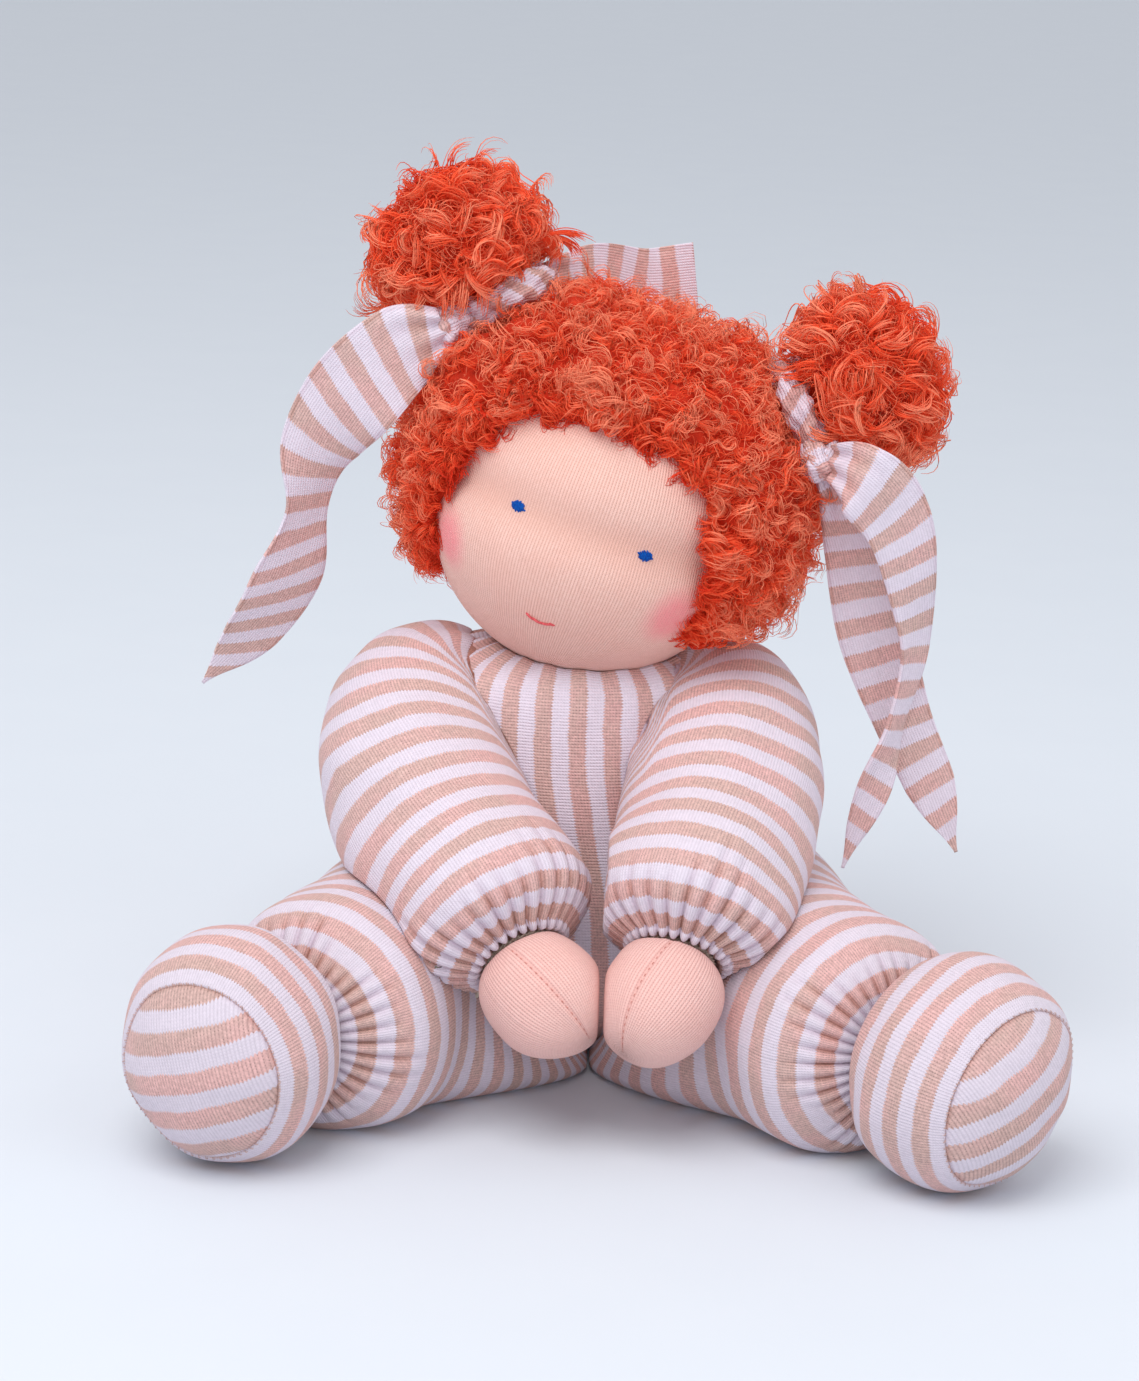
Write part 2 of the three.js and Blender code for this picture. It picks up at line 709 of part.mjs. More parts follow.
function addFoot(pose, ankle, axis) {
  const halfHeight = Math.hypot(footLength * Math.cos(radians(pose.toeRoll)),
    footWidth * Math.sin(radians(pose.toeRoll))) / 2;
  const outward = new THREE.Vector3(-pose.side * axis.y, pose.side * axis.x, 0);
  const centre = ankle.clone().addScaledVector(axis, ankleToFoot).addScaledVector(outward, footOutward);
  centre.setZ(halfHeight - floorSink);
  const sole = new THREE.Vector3(
    pose.side * Math.sin(radians(pose.soleTurn)), -Math.cos(radians(pose.soleTurn)), 0);
  const toe = upwards.clone().applyAxisAngle(sole, -pose.side * radians(pose.toeRoll));
  const half = footThickness / 2;
  const spine = new THREE.LineCurve3(
    centre.clone().addScaledVector(sole, -half), centre.clone().addScaledVector(sole, half));
  const ball = stuffedForm({
    spine,
    rings: footRings,
    sides: limbSides,
    lifted: toe,
    sizeAt(distance, length) {
      const heel = roundedEnd(distance, length / 2, roundEnd);
      const share = Math.min(heel, roundedEnd(length - distance, length / 2, soleEnd));
      return { across: (footWidth / 2) * share, high: (footLength / 2) * share };
    }
  });
  const back = axis.clone().negate();
  const behind = (depth) => beyond(ankle.clone().addScaledVector(axis, swingGap + depth), back);
  const neckEnd = ankle.clone().addScaledVector(axis, -ankleDepth);
  const neckStart = neckEnd.clone().addScaledVector(axis, -cloth);
  const neckTop = ankle.clone().addScaledVector(axis, ankleToFoot);
  const formAt = (depth) => {
    const bootie = asSolid(inset(ball, depth)).subtract(behind(depth));
    return bootie.add(bar(neckStart, neckTop, ankleRadius - depth, limbSides)).subtract(floor(depth));
  };
  const { casing, filling } = sewn(formAt, [beyond(neckEnd, back)]);
  const soleOut = half * Math.sqrt(1 - (soleRadius / (footWidth / 2)) ** 2);
  const seam = centre.clone().addScaledVector(sole, soleOut);
  const panel = beyond(seam.clone().addScaledVector(sole, restGap), sole);
  addPiece(`${pose.name}_foot_cover`, casing.subtract(beyond(seam, sole)), jersey);
  addPiece(`${pose.name}_sole_panel`, casing.intersect(panel), jersey);
  addPiece(`${pose.name}_foot_filling`, filling, wool);
}

function addArm(pose) {
  const pivot = shoulderPivot(pose.side);
  const points = pose.places.map(([x, y, z]) => new THREE.Vector3(pose.side * x, y, z).add(pivot));
  const spine = new THREE.CatmullRomCurve3(points);
  const form = stuffedForm({
    spine,
    rings: limbRings,
    sides: limbSides,
    lifted: upwards,
    sizeAt(distance, length) {
      const swell = THREE.MathUtils.smoothstep(distance, 0, length / 2);
      const radius = THREE.MathUtils.lerp(sleeveTopRadius, sleeveRadius, swell);
      const share = roundedEnd(distance, sleeveTopRadius, roundEnd)
        * roundedEnd(length - distance, cuffRounding, gatheredEnd);
      return { across: radius * share, high: radius * share };
    }
  });
  const inner = sideways.clone().multiplyScalar(-pose.side);
  const nearMiddle = (depth) => beyond(
    new THREE.Vector3(handsMeet + pose.side * (swingGap + depth), 0, 0), inner);
  const dents = (depth) => legForms.map((leg) => asSolid(inset(leg.form, -swingGap - depth)));
  const formAt = (depth) => {
    let solid = asSolid(inset(form, depth)).subtract(nearMiddle(depth));
    solid = solid.subtract(asSolid(inset(bodyForm, -swingGap - depth)));
    for (const dent of dents(depth)) solid = solid.subtract(dent);
    return solid;
  };
  const wrist = spine.getPointAt(1);
  const axis = spine.getTangentAt(1);
  const along = (distance) => wrist.clone().addScaledVector(axis, distance);
  const seamOut = pivot.clone().addScaledVector(sideways, pose.side * restGap);
  const seamIn = pivot.clone().addScaledVector(sideways, -pose.side * hipHalfWidth);
  const root = bar(seamIn, seamOut, shoulderSeamRadius);
  const hole = wristRadius + threadGap + 2 * threadRadius + restGap;
  const well = bar(along(-wristDepth - swingGap), along(wristDepth), hole);
  const { casing, filling } = sewn(formAt, [root, well]);
  addPiece(`${pose.name}_sleeve`, casing, jersey);
  addPiece(`${pose.name}_arm_filling`, filling, wool);
  const tie = threadRing(along(-2 * threadRadius), axis, wristRadius + threadGap + threadRadius);
  addPiece(`${pose.name}_wrist_thread`, tie, cottonThread);
  addHand(pose, wrist, axis, nearMiddle);
}

function addHand(pose, wrist, axis, nearMiddle) {
  const along = (distance) => wrist.clone().addScaledVector(axis, distance);
  const ball = stuffedForm({
    spine: new THREE.LineCurve3(along(-handSunk), along(handLength - handSunk)),
    rings: handRings,
    sides: handSides,
    lifted: upwards,
    sizeAt(distance, length) {
      const share = roundedEnd(Math.min(distance, length - distance), length / 2, roundEnd);
      return { across: handHalfWidth * share, high: handHalfDepth * share };
    }
  });
  const back = axis.clone().negate();
  const behind = (depth) => beyond(along(swingGap + depth), back);
  const formAt = (depth) => {
    const mitten = asSolid(inset(ball, depth)).subtract(behind(depth)).subtract(nearMiddle(depth));
    return mitten.add(bar(along(-wristDepth - cloth), along(handLength / 2), wristRadius - depth, handSides));
  };
  const { casing, filling } = sewn(formAt, [beyond(along(-wristDepth), back)]);
  addPiece(`${pose.name}_hand_cover`, casing, handJersey);
  addPiece(`${pose.name}_hand_filling`, filling, wool);
}

addBody();
addHead();
addTails();
legPoses.forEach((pose, place) => addLeg(pose, legForms[place]));
armPoses.forEach(addArm);

export default doll;
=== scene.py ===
import math

import bpy
import numpy as np
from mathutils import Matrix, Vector
from mathutils.bvhtree import BVHTree


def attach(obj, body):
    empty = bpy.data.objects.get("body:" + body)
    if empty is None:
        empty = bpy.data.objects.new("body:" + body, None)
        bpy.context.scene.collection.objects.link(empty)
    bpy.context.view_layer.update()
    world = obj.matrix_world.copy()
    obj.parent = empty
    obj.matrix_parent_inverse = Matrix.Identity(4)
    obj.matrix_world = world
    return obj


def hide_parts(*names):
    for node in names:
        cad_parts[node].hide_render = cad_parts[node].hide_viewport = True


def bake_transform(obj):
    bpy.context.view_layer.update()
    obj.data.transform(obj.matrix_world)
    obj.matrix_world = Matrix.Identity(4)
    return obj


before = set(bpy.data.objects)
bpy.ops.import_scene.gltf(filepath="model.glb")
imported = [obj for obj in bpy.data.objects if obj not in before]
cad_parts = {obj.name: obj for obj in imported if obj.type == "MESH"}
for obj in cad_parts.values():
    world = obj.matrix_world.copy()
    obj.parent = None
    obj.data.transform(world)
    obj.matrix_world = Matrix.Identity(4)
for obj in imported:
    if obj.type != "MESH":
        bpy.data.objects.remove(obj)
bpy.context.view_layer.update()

# The photographer's view: a long lens in front of the doll and a little above it, held two degrees askew.
# It looks at the middle of the body from just over a metre away. The photograph is 1139 by 1381.
look_down = math.radians(15)
askew = math.radians(2)
looked_at = Vector((-0.0105, -0.040, 0.1315))
away = Vector((0, -math.cos(look_down), math.sin(look_down)))
level = Vector((1, 0, 0))
raised = Vector((0, math.sin(look_down), math.cos(look_down)))
picture_right = level * math.cos(askew) + raised * math.sin(askew)
picture_up = raised * math.cos(askew) - level * math.sin(askew)
lens = bpy.data.cameras.new("front_view")
lens.sensor_width = 36
lens.lens = 88.9
camera = bpy.data.objects.new("front_view", lens)
for row in range(3):
    camera.matrix_world[row][0] = picture_right[row]
    camera.matrix_world[row][1] = picture_up[row]
    camera.matrix_world[row][2] = away[row]
    camera.matrix_world[row][3] = looked_at[row] + 1.1 * away[row]
bpy.context.scene.collection.objects.link(camera)
bpy.context.scene.camera = camera

# Body: a casing of striped jersey with its stripes upright, filled with wool to a firm egg on a flat seat.
# It is drawn in to sloping shoulders, open under the head for the neck, and flat where the arms are sewn on.
# Every form below is in millimetres until its mesh is made.
body_height = 142
body_half_width = 50
body_half_depth = 40
body_sides = 252
hip_height = 40
shoulder_height = 112
shoulder_slope = 24
chest_sideways = -10
chest_forward = 3
head_centre = np.array([-3.5, -6, 184])
head_radius = 54
neck_middle = head_centre[:2]
neck_opening = 16.4
neck_rim_heights = (131.4, 129.5, 124)
flat_sides = (-55.8, 35.8)
body_pairs_of_stripes = 28
body_pair = 10
once_round = 6.28
beige = (0.775, 0.515, 0.465, 1)
# The white is the cloth's own white, with a lilac tint that is painted light: the colour of light from a blue
# sky.
white_with_painted_sky_tint = (0.86, 0.765, 0.87, 1)


def unit(rows):
    return rows / np.maximum(np.linalg.norm(rows, axis=-1, keepdims=True), 1e-9)


def full_turn(steps):
    """Angles once round, evenly spaced, without the first one again at the end."""
    return np.linspace(0, 2 * math.pi, steps, endpoint=False)


def smooth_step(values, start, end):
    share = np.clip((np.asarray(values, float) - start) / (end - start), 0, 1)
    return share * share * (3 - 2 * share)


def rounded_end(distance, rounding, fullness):
    """The share of its full size that a stuffed form has near an end: 2 is an ellipse, more is squarer."""
    near = 1 - np.clip(np.asarray(distance, float) / rounding, 0, 1)
    return (1 - near**fullness) ** (1 / fullness)


def lumps(places, size, seed):
    """The soft unevenness of hand stuffing, from -1 to 1 over the places, in lumps of about one size."""
    chance = np.random.default_rng(seed)
    total = np.zeros(places.shape[:-1])
    for _ in range(14):
        direction = unit(chance.normal(size=3))
        waves = once_round / size / chance.uniform(0.7, 1.4)
        total += np.sin(places @ direction * waves + chance.uniform(0, once_round))
    return total / 5.3


def outward(places):
    """The direction out of a round form at each place of its rings."""
    along = np.gradient(places, axis=0)
    around = np.roll(places, -1, axis=1) - np.roll(places, 1, axis=1)
    facing = unit(np.cross(along, around))
    middle = places.mean(axis=1, keepdims=True)
    if ((places - middle) * facing).sum() < 0:
        facing = -facing
    return facing


def cloth_on(places, girth, measured=slice(None)):
    """Where each corner lies in the flat cloth: across round the form, and along from ring to ring."""
    steps = np.linalg.norm(np.diff(places, axis=0), axis=2)[:, measured].mean(axis=1)
    along = np.concatenate([[0], np.cumsum(steps)])
    across = np.linspace(0, girth, places.shape[1] + 1)
    return np.stack(np.meshgrid(across, along), axis=-1)


def make_piece(name, places, rides_on, material, stands_for=(), cloth=None, mark=None, capped=True):
    """A piece from rings of places, (rings, sides, 3) or several tubes of those, with the cloth as its UVs."""
    if places.ndim == 3:
        places = places[None]
        cloth = None if cloth is None else cloth[None]
        mark = None if mark is None else mark[None]
    tubes, rings, sides = places.shape[:3]
    corner = np.arange(tubes * rings * sides).reshape(tubes, rings, sides)
    here = corner[:, :-1]
    there = corner[:, 1:]
    quads = np.stack([here, there, np.roll(there, -1, 2), np.roll(here, -1, 2)], axis=-1).reshape(-1, 4)
    flat = places.reshape(-1, 3)
    a, b, c, d = (flat[quads[:, k]] for k in range(4))
    inside_out = (a * (np.cross(b, c) + np.cross(c, d))).sum() < 0
    faces = (quads[:, ::-1] if inside_out else quads).tolist()
    if capped:
        ends = np.concatenate([corner[:, 0], corner[:, -1, ::-1]])
        faces += (ends[:, ::-1] if inside_out else ends).tolist()
    mesh = bpy.data.meshes.new(name)
    mesh.from_pydata((flat * 0.001).tolist(), [], faces)
    if cloth is not None:
        near = cloth[:, :-1]
        far = cloth[:, 1:]
        corners = np.stack([near[:, :, :-1], far[:, :, :-1], far[:, :, 1:], near[:, :, 1:]], axis=3)
        corners = corners.reshape(-1, 4, 2)
        rows = [(corners[:, ::-1] if inside_out else corners).reshape(-1, 2)]
        if capped:
            first = cloth[:, 0, :-1]
            last = cloth[:, -1, :-1][:, ::-1]
            rims = np.concatenate([first, last])
            rows.append((rims[:, ::-1] if inside_out else rims).reshape(-1, 2))
        layer = mesh.uv_layers.new(name="cloth")
        layer.data.foreach_set("uv", np.concatenate(rows).astype(np.float32).ravel())
    # The mark is a weight that most materials use for painted shade; on the hair it also carries painted light
    # and the fibres' own tone.
    if mark is not None:
        layer = mesh.attributes.new("mark", "FLOAT", "POINT")
        layer.data.foreach_set("value", mark.astype(np.float32).ravel())
    mesh.shade_smooth()
    mesh.materials.append(material)
    piece = bpy.data.objects.new(name, mesh)
    bpy.context.scene.collection.objects.link(piece)
    if rides_on:
        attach(piece, rides_on)
    if stands_for:
        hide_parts(*stands_for)
    return piece


def add_node(tree, kind, feeds=(), **settings):
    """A shader node with its settings, and its inputs as (name, value or the socket that feeds it)."""
    made = tree.nodes.new(kind)
    for key, value in settings.items():
        setattr(made, key, value)
    for key, value in feeds:
        if isinstance(value, bpy.types.NodeSocket):
            tree.links.new(value, made.inputs[key])
        else:
            made.inputs[key].default_value = value
    return made


def sum_up(tree, operation, a, b=0.0, c=0.0):
    made = add_node(tree, "ShaderNodeMath", [(0, a), (1, b), (2, c)], operation=operation)
    return made.outputs[0]


def ramp(tree, value, low, high, start=0.0, end=1.0):
    made = add_node(
        tree,
        "ShaderNodeMapRange",
        [("Value", value), ("From Min", low), ("From Max", high), ("To Min", start), ("To Max", end)],
        interpolation_type="SMOOTHSTEP",
    )
    return made.outputs[0]


def blend_colours(tree, share, a, b, way="MIX"):
    made = add_node(tree, "ShaderNodeMix", data_type="RGBA", blend_type=way)
    for place, value in ((0, share), (6, a), (7, b)):
        if isinstance(value, bpy.types.NodeSocket):
            tree.links.new(value, made.inputs[place])
        else:
            made.inputs[place].default_value = value
    return made.outputs[2]


def new_material(name):
    """A new material, its node tree and its shader."""
    material = bpy.data.materials.new(name)
    material.use_nodes = True
    return material, material.node_tree, material.node_tree.nodes["Principled BSDF"]


def give_relief(tree, shader, strength, depth, height):
    """Bends the shading by a height, up to a depth in metres."""
    bump = add_node(tree, "ShaderNodeBump", [("Strength", strength), ("Distance", depth), ("Height", height)])
    tree.links.new(bump.outputs[0], shader.inputs["Normal"])


def set_surface(shader, **values):
    """Sets plain values of a shader, each named with low lines for the spaces."""
    for key, value in values.items():
        shader.inputs[key.replace("_", " ")].default_value = value


def new_group(name, inputs, outputs):
    """A node group with named inputs and outputs, its tree, and its inputs' sockets by name."""
    tree = bpy.data.node_groups.new(name, "ShaderNodeTree")
    for label, kind in inputs:
        tree.interface.new_socket(label, in_out="INPUT", socket_type="NodeSocket" + kind)
    for label, kind in outputs:
        tree.interface.new_socket(label, in_out="OUTPUT", socket_type="NodeSocket" + kind)
    start = tree.nodes.new("NodeGroupInput")
    return tree, start.outputs, tree.nodes.new("NodeGroupOutput").inputs


def fine_noise(tree, size, detail=3.0, rough=0.6):
    """Noise over the object, in patches of a size in millimetres."""
    coordinates = tree.nodes.new("ShaderNodeTexCoord").outputs["Object"]
    made = add_node(
        tree,
        "ShaderNodeTexNoise",
        [("Vector", coordinates), ("Scale", 1000 / size), ("Detail", detail), ("Roughness", rough)],
    )
    return made.outputs["Fac"]


# Plain knitting: columns of small V stitches, with a hole between neighbouring stitches. The materials darken
# that hole and the groove between columns as painted shade.
knit, knit_in, knit_out = new_group(
    "plain_knit",
    [("Cloth", "Vector"), ("Wale", "Float"), ("Course", "Float")],
    [("Height", "Float"), ("Hole", "Float"), ("Step", "Float"), ("Rib", "Float")],
)
parts = add_node(knit, "ShaderNodeSeparateXYZ", [(0, knit_in["Cloth"])]).outputs
column = sum_up(knit, "FRACT", sum_up(knit, "DIVIDE", parts["X"], knit_in["Wale"]))
off_column = sum_up(knit, "ABSOLUTE", sum_up(knit, "MULTIPLY_ADD", column, 2.0, -1.0))
course = sum_up(knit, "DIVIDE", parts["Y"], knit_in["Course"])
slanted = sum_up(knit, "FRACT", sum_up(knit, "MULTIPLY_ADD", off_column, 0.5, course))
off_course = sum_up(knit, "ABSOLUTE", sum_up(knit, "MULTIPLY_ADD", slanted, 2.0, -1.0))
column_height = sum_up(knit, "MULTIPLY", sum_up(knit, "MULTIPLY", off_column, off_column), -0.7)
course_height = sum_up(knit, "MULTIPLY", sum_up(knit, "MULTIPLY", off_course, off_course), -0.4)
knit.links.new(sum_up(knit, "ADD", column_height, course_height), knit_out["Height"])
hole = sum_up(knit, "MULTIPLY", ramp(knit, off_column, 0.55, 1.0), ramp(knit, off_course, 0.45, 1.0))
knit.links.new(hole, knit_out["Hole"])
knit.links.new(sum_up(knit, "SUBTRACT", off_column, 0.5), knit_out["Step"])
knit.links.new(ramp(knit, off_column, 0.2, 1.0), knit_out["Rib"])

# Striped jersey: stripes that follow the courses, so their edges step with the stitches, a little heathered,
# with painted shade between the stitches.
# Down in the gathers the cloth is darkened as painted shade.
striped, striped_in, striped_out = new_group(
    "striped_jersey",
    [("Cloth", "Vector"), ("Pair", "Float"), ("White share", "Float"), ("Start", "Float"), ("Wale", "Float"),
     ("Painted pleat shade", "Float"), ("Beige", "Color"), ("White", "Color")],
    [("Color", "Color"), ("Height", "Float")],
)
stitches = add_node(striped, "ShaderNodeGroup", node_tree=knit)
striped.links.new(striped_in["Cloth"], stitches.inputs["Cloth"])
striped.links.new(striped_in["Wale"], stitches.inputs["Wale"])
striped.links.new(sum_up(striped, "MULTIPLY", striped_in["Wale"], 0.85), stitches.inputs["Course"])
parts = add_node(striped, "ShaderNodeSeparateXYZ", [(0, striped_in["Cloth"])]).outputs
wander = sum_up(striped, "MULTIPLY_ADD", fine_noise(striped, 11), 2.0, -1.0)
stepped = sum_up(striped, "MULTIPLY_ADD", stitches.outputs["Step"], 0.75, wander)
along_cloth = sum_up(striped, "ADD", sum_up(striped, "ADD", parts["Y"], stepped), striped_in["Start"])
stripe = sum_up(striped, "FRACT", sum_up(striped, "DIVIDE", along_cloth, striped_in["Pair"]))
from_middle = sum_up(striped, "ABSOLUTE", sum_up(striped, "MULTIPLY_ADD", stripe, 2.0, -1.0))
past_edge = sum_up(striped, "SUBTRACT", from_middle, striped_in["White share"])
is_beige = ramp(striped, past_edge, -0.03, 0.03)
heather = ramp(striped, fine_noise(striped, 1.1, 4.0, 0.75), 0.3, 0.7, 0.82, 1.13)
drift = ramp(striped, fine_noise(striped, 26), 0.35, 0.65)
pinker = blend_colours(striped, drift, striped_in["Beige"], (0.79, 0.475, 0.45, 1))
# Painted shade: the gaps between stitches and the grooves between columns are darkened; the heather is the
# yarn's own uneven tone.
holed = ramp(striped, fine_noise(striped, 2.2), 0.35, 0.7)
painted_hole_shade = sum_up(striped, "MULTIPLY", stitches.outputs["Hole"], holed)
with_painted_rib_shade = sum_up(striped, "MULTIPLY_ADD", stitches.outputs["Rib"], -0.16, heather)
heather_and_stitch_shade = sum_up(striped, "MULTIPLY_ADD", painted_hole_shade, -0.62, with_painted_rib_shade)
beige_yarn = blend_colours(striped, 1.0, pinker, add_node(
    striped, "ShaderNodeCombineColor", [(0, heather_and_stitch_shade), (1, heather_and_stitch_shade), (2, heather_and_stitch_shade)]).outputs[0], "MULTIPLY")
white_shade = sum_up(striped, "MULTIPLY_ADD", stitches.outputs["Rib"], -0.08,
                     ramp(striped, fine_noise(striped, 1.6, 3.0), 0.3, 0.7, 0.96, 1.03))
white_yarn = blend_colours(striped, 1.0, striped_in["White"], add_node(
    striped, "ShaderNodeCombineColor", [(0, white_shade), (1, white_shade), (2, white_shade)]).outputs[0],
    "MULTIPLY")
cloth_colour = blend_colours(striped, is_beige, white_yarn, beige_yarn)
# Painted shade: down in the gathers the cloth is multiplied towards these darker tints.
pleat_shade_tints = blend_colours(striped, is_beige, (0.80, 0.70, 0.74, 1), (0.60, 0.42, 0.34, 1))
shaded = blend_colours(striped, 1.0, cloth_colour, pleat_shade_tints, "MULTIPLY")
striped.links.new(blend_colours(striped, striped_in["Painted pleat shade"], cloth_colour, shaded), striped_out["Color"])
fuzz = sum_up(striped, "MULTIPLY_ADD", fine_noise(striped, 0.8, 4.0, 0.8), 0.35, stitches.outputs["Height"])
striped.links.new(fuzz, striped_out["Height"])


def jersey_material(name, pair, white_share, start, wale=1.05, relief=0.6, tone=1.0):
    """Striped jersey with one pair of stripes every so many millimetres, made a little darker by its tone,
    which is painted shade for pieces that lie in shade.
    """
    material, tree, shader = new_material(name)
    cloth = add_node(tree, "ShaderNodeUVMap", uv_map="cloth").outputs[0]
    # The mark attribute weights the painted shade of the gathers.
    painted_pleat_shade = add_node(tree, "ShaderNodeAttribute", attribute_name="mark").outputs["Fac"]
    yarn = add_node(tree, "ShaderNodeGroup", node_tree=striped)
    for key, value in (("Pair", pair), ("White share", white_share), ("Start", start), ("Wale", wale),
                       ("Beige", [tone * c for c in beige[:3]] + [1]),
                       ("White", [tone * c for c in white_with_painted_sky_tint[:3]] + [1])):
        yarn.inputs[key].default_value = value
    tree.links.new(cloth, yarn.inputs["Cloth"])
    tree.links.new(painted_pleat_shade, yarn.inputs["Painted pleat shade"])
    tree.links.new(yarn.outputs["Color"], shader.inputs["Base Color"])
    give_relief(tree, shader, relief, 0.0004, yarn.outputs["Height"])
    set_surface(shader, Roughness=0.92, Specular_IOR_Level=0.2, Sheen_Weight=0.12, Sheen_Roughness=0.5)
    return material


def body_sizes(height):
    """The body's half width, half depth, middle in x and middle in y at each height."""
    upper = smooth_step(height, hip_height, shoulder_height)
    share = rounded_end(height + 0.5, hip_height, 2.3) * rounded_end(body_height - height, shoulder_slope, 3)
    half_width = (body_half_width + upper) * share
    half_depth = (body_half_depth - 5 * upper) * share
    return half_width, half_depth, chest_sideways * upper, -chest_forward * upper


def clear_of_body(places, gap):
    """Moves places inside the body out to its sides."""
    half_width, half_depth, middle_x, middle_y = body_sizes(np.clip(places[..., 2], 0, body_height - 0.5))
    x = places[..., 0] - middle_x
    y = places[..., 1] - middle_y
    share = np.sqrt((x / (half_width + gap)) ** 2 + (y / (half_depth + gap)) ** 2)
    below_top = places[..., 2] < body_height
    push = np.where(below_top & (share < 1), 1 / np.maximum(share, 0.2), 1)
    moved = places.copy()
    moved[..., 0] = middle_x + x * push
    moved[..., 1] = middle_y + y * push
    return moved


def clear_of_ball(places, centre, radius):
    off = places - centre
    distance = np.linalg.norm(off, axis=-1, keepdims=True)
    return centre + off * np.maximum(1, radius / np.maximum(distance, 1e-6))


heights = -0.5 + (body_height + 0.5) * (1 - np.cos(np.linspace(0.03, 0.97, 150) * math.pi)) / 2
half_width, half_depth, middle_x, middle_y = (row[:, None] for row in body_sizes(heights))
around = full_turn(body_sides)[None]
body_x = middle_x + half_width * np.cos(around)
body_y = middle_y - half_depth * np.sin(around)
body_form = np.stack([body_x, body_y, heights[:, None] + 0 * around], axis=-1)
body_form += outward(body_form) * (0.6 * lumps(body_form, 34, 3))[..., None]
wrinkles = 0.7 * np.sin(around * 23 + 1.5 * np.sin(around * 3)) * smooth_step(heights[:, None], 112, 128)
body_form += outward(body_form) * (wrinkles + 0 * around)[..., None]
body_form = clear_of_ball(body_form, head_centre, head_radius + 0.3)
from_neck = np.hypot(body_form[:, :, 0] - neck_middle[0], body_form[:, :, 1] - neck_middle[1])
body_form = body_form[from_neck.min(axis=1) > neck_opening - 0.9]
neck_rim = neck_middle + neck_opening * np.stack([np.cos(around[0]), -np.sin(around[0])], axis=-1)
neck_rim = [np.concatenate([neck_rim, np.full((body_sides, 1), height)], axis=1) for height in neck_rim_heights]
body_form = np.concatenate([body_form, np.array(neck_rim)])
body_form[..., 2] = np.maximum(body_form[..., 2], 0.1)
body_form[..., 0] = np.clip(body_form[..., 0], *flat_sides)
body_cloth = cloth_on(body_form, body_pairs_of_stripes * body_pair)[..., ::-1]
# Painted shade in the small gathers round the neckline.
neckline = np.exp(-((np.linspace(0, 1, len(body_form)) - 1) / 0.06) ** 2)[:, None]
neckline_painted_shade = neckline * (0.5 + 0.5 * np.cos(around * 22)) * 0.8
body_jersey = jersey_material("body_jersey", body_pair, 0.5, 2.4)
body = make_piece("body_jersey", body_form, "body", body_jersey, ["body_cover"], body_cloth,
                  neckline_painted_shade, capped=False)

# Wool stuffing: carded fleece, packed firmly by hand. Each casing but the neck's holds its own wad of it.
# It is lumpy, off-white and matt, with short fibres on its surface.
wool_in_wads, tree, shader = new_material("carded_wool")
fleece = fine_noise(tree, 3.2, 6.0, 0.75)
fibres = fine_noise(tree, 0.5, 2.0, 0.9)
whiter = ramp(tree, fleece, 0.35, 0.7)
fleece_colour = blend_colours(tree, whiter, (0.72, 0.64, 0.50, 1), (0.90, 0.86, 0.76, 1))
tree.links.new(fleece_colour, shader.inputs["Base Color"])
set_surface(shader, Roughness=1.0)
give_relief(tree, shader, 0.8, 0.001, sum_up(tree, "MULTIPLY_ADD", fibres, 0.4, fleece))


def thickness_behind(form, inwards, most):
    """How thick a form is at each of its places, measured straight inwards to the cloth on its far side."""
    rows, columns = form.shape[:2]
    number = np.arange(rows * columns).reshape(rows, columns)
    beside = np.roll(number, -1, axis=1)
    quads = np.stack([number[:-1], beside[:-1], beside[1:], number[1:]], axis=-1).reshape(-1, 4)
    cloth = BVHTree.FromPolygons(form.reshape(-1, 3).tolist(), quads.tolist())
    found = []
    for place, inwards_here in zip(form.reshape(-1, 3), inwards.reshape(-1, 3)):
        distance = cloth.ray_cast(Vector(place + inwards_here * 0.4), Vector(inwards_here), most)[3]
        found.append(most if distance is None else distance)
    return np.array(found).reshape(rows, columns)


def stuff_with_wool(node, rides_on, casing, thinner=2.2):
    """A lumpy wad of wool that fills a casing's form, kept just inside its cloth also where that is thin."""
    form = casing[:: max(1, len(casing) // 70), ::3]
    inwards = -outward(form)
    inset = thinner - 0.8 * lumps(form, 9, 5)
    inset = np.minimum(inset, 0.45 * thickness_behind(form, inwards, 12))
    wad = make_piece(node.replace("filling", "wool"), form + inwards * inset[..., None], rides_on,
                     wool_in_wads, [node])
    return wad


stuff_with_wool("body_filling", "body", body_form[:-3])

# Neck: a stuffed stalk of the head's skin-coloured jersey, tied round with cotton thread.
# The thread closes it in the neck opening of the body.
neck_tie_height = 122


def smooth_line(places):
    """Points on the smooth curve through places, close together."""
    rows = np.array(places, float)
    rows = np.vstack([2 * rows[0] - rows[1], rows, 2 * rows[-1] - rows[-2]])
    pieces = []
    share = np.linspace(0, 1, 60, endpoint=False)[:, None]
    for a, b, c, d in zip(rows, rows[1:], rows[2:], rows[3:]):
        first, middle, last = (math.sqrt(np.linalg.norm(q - p)) or 1.0 for p, q in ((a, b), (b, c), (c, d)))
        leaving = ((b - a) / first - (c - a) / (first + middle) + (c - b) / middle) * middle
        arriving = ((c - b) / middle - (d - b) / (middle + last) + (d - c) / last) * middle
        pieces.append(b + leaving * share + (3 * (c - b) - 2 * leaving - arriving) * share**2
                      + (2 * (b - c) + leaving + arriving) * share**3)
    return np.vstack([*pieces, rows[-2:-1]])


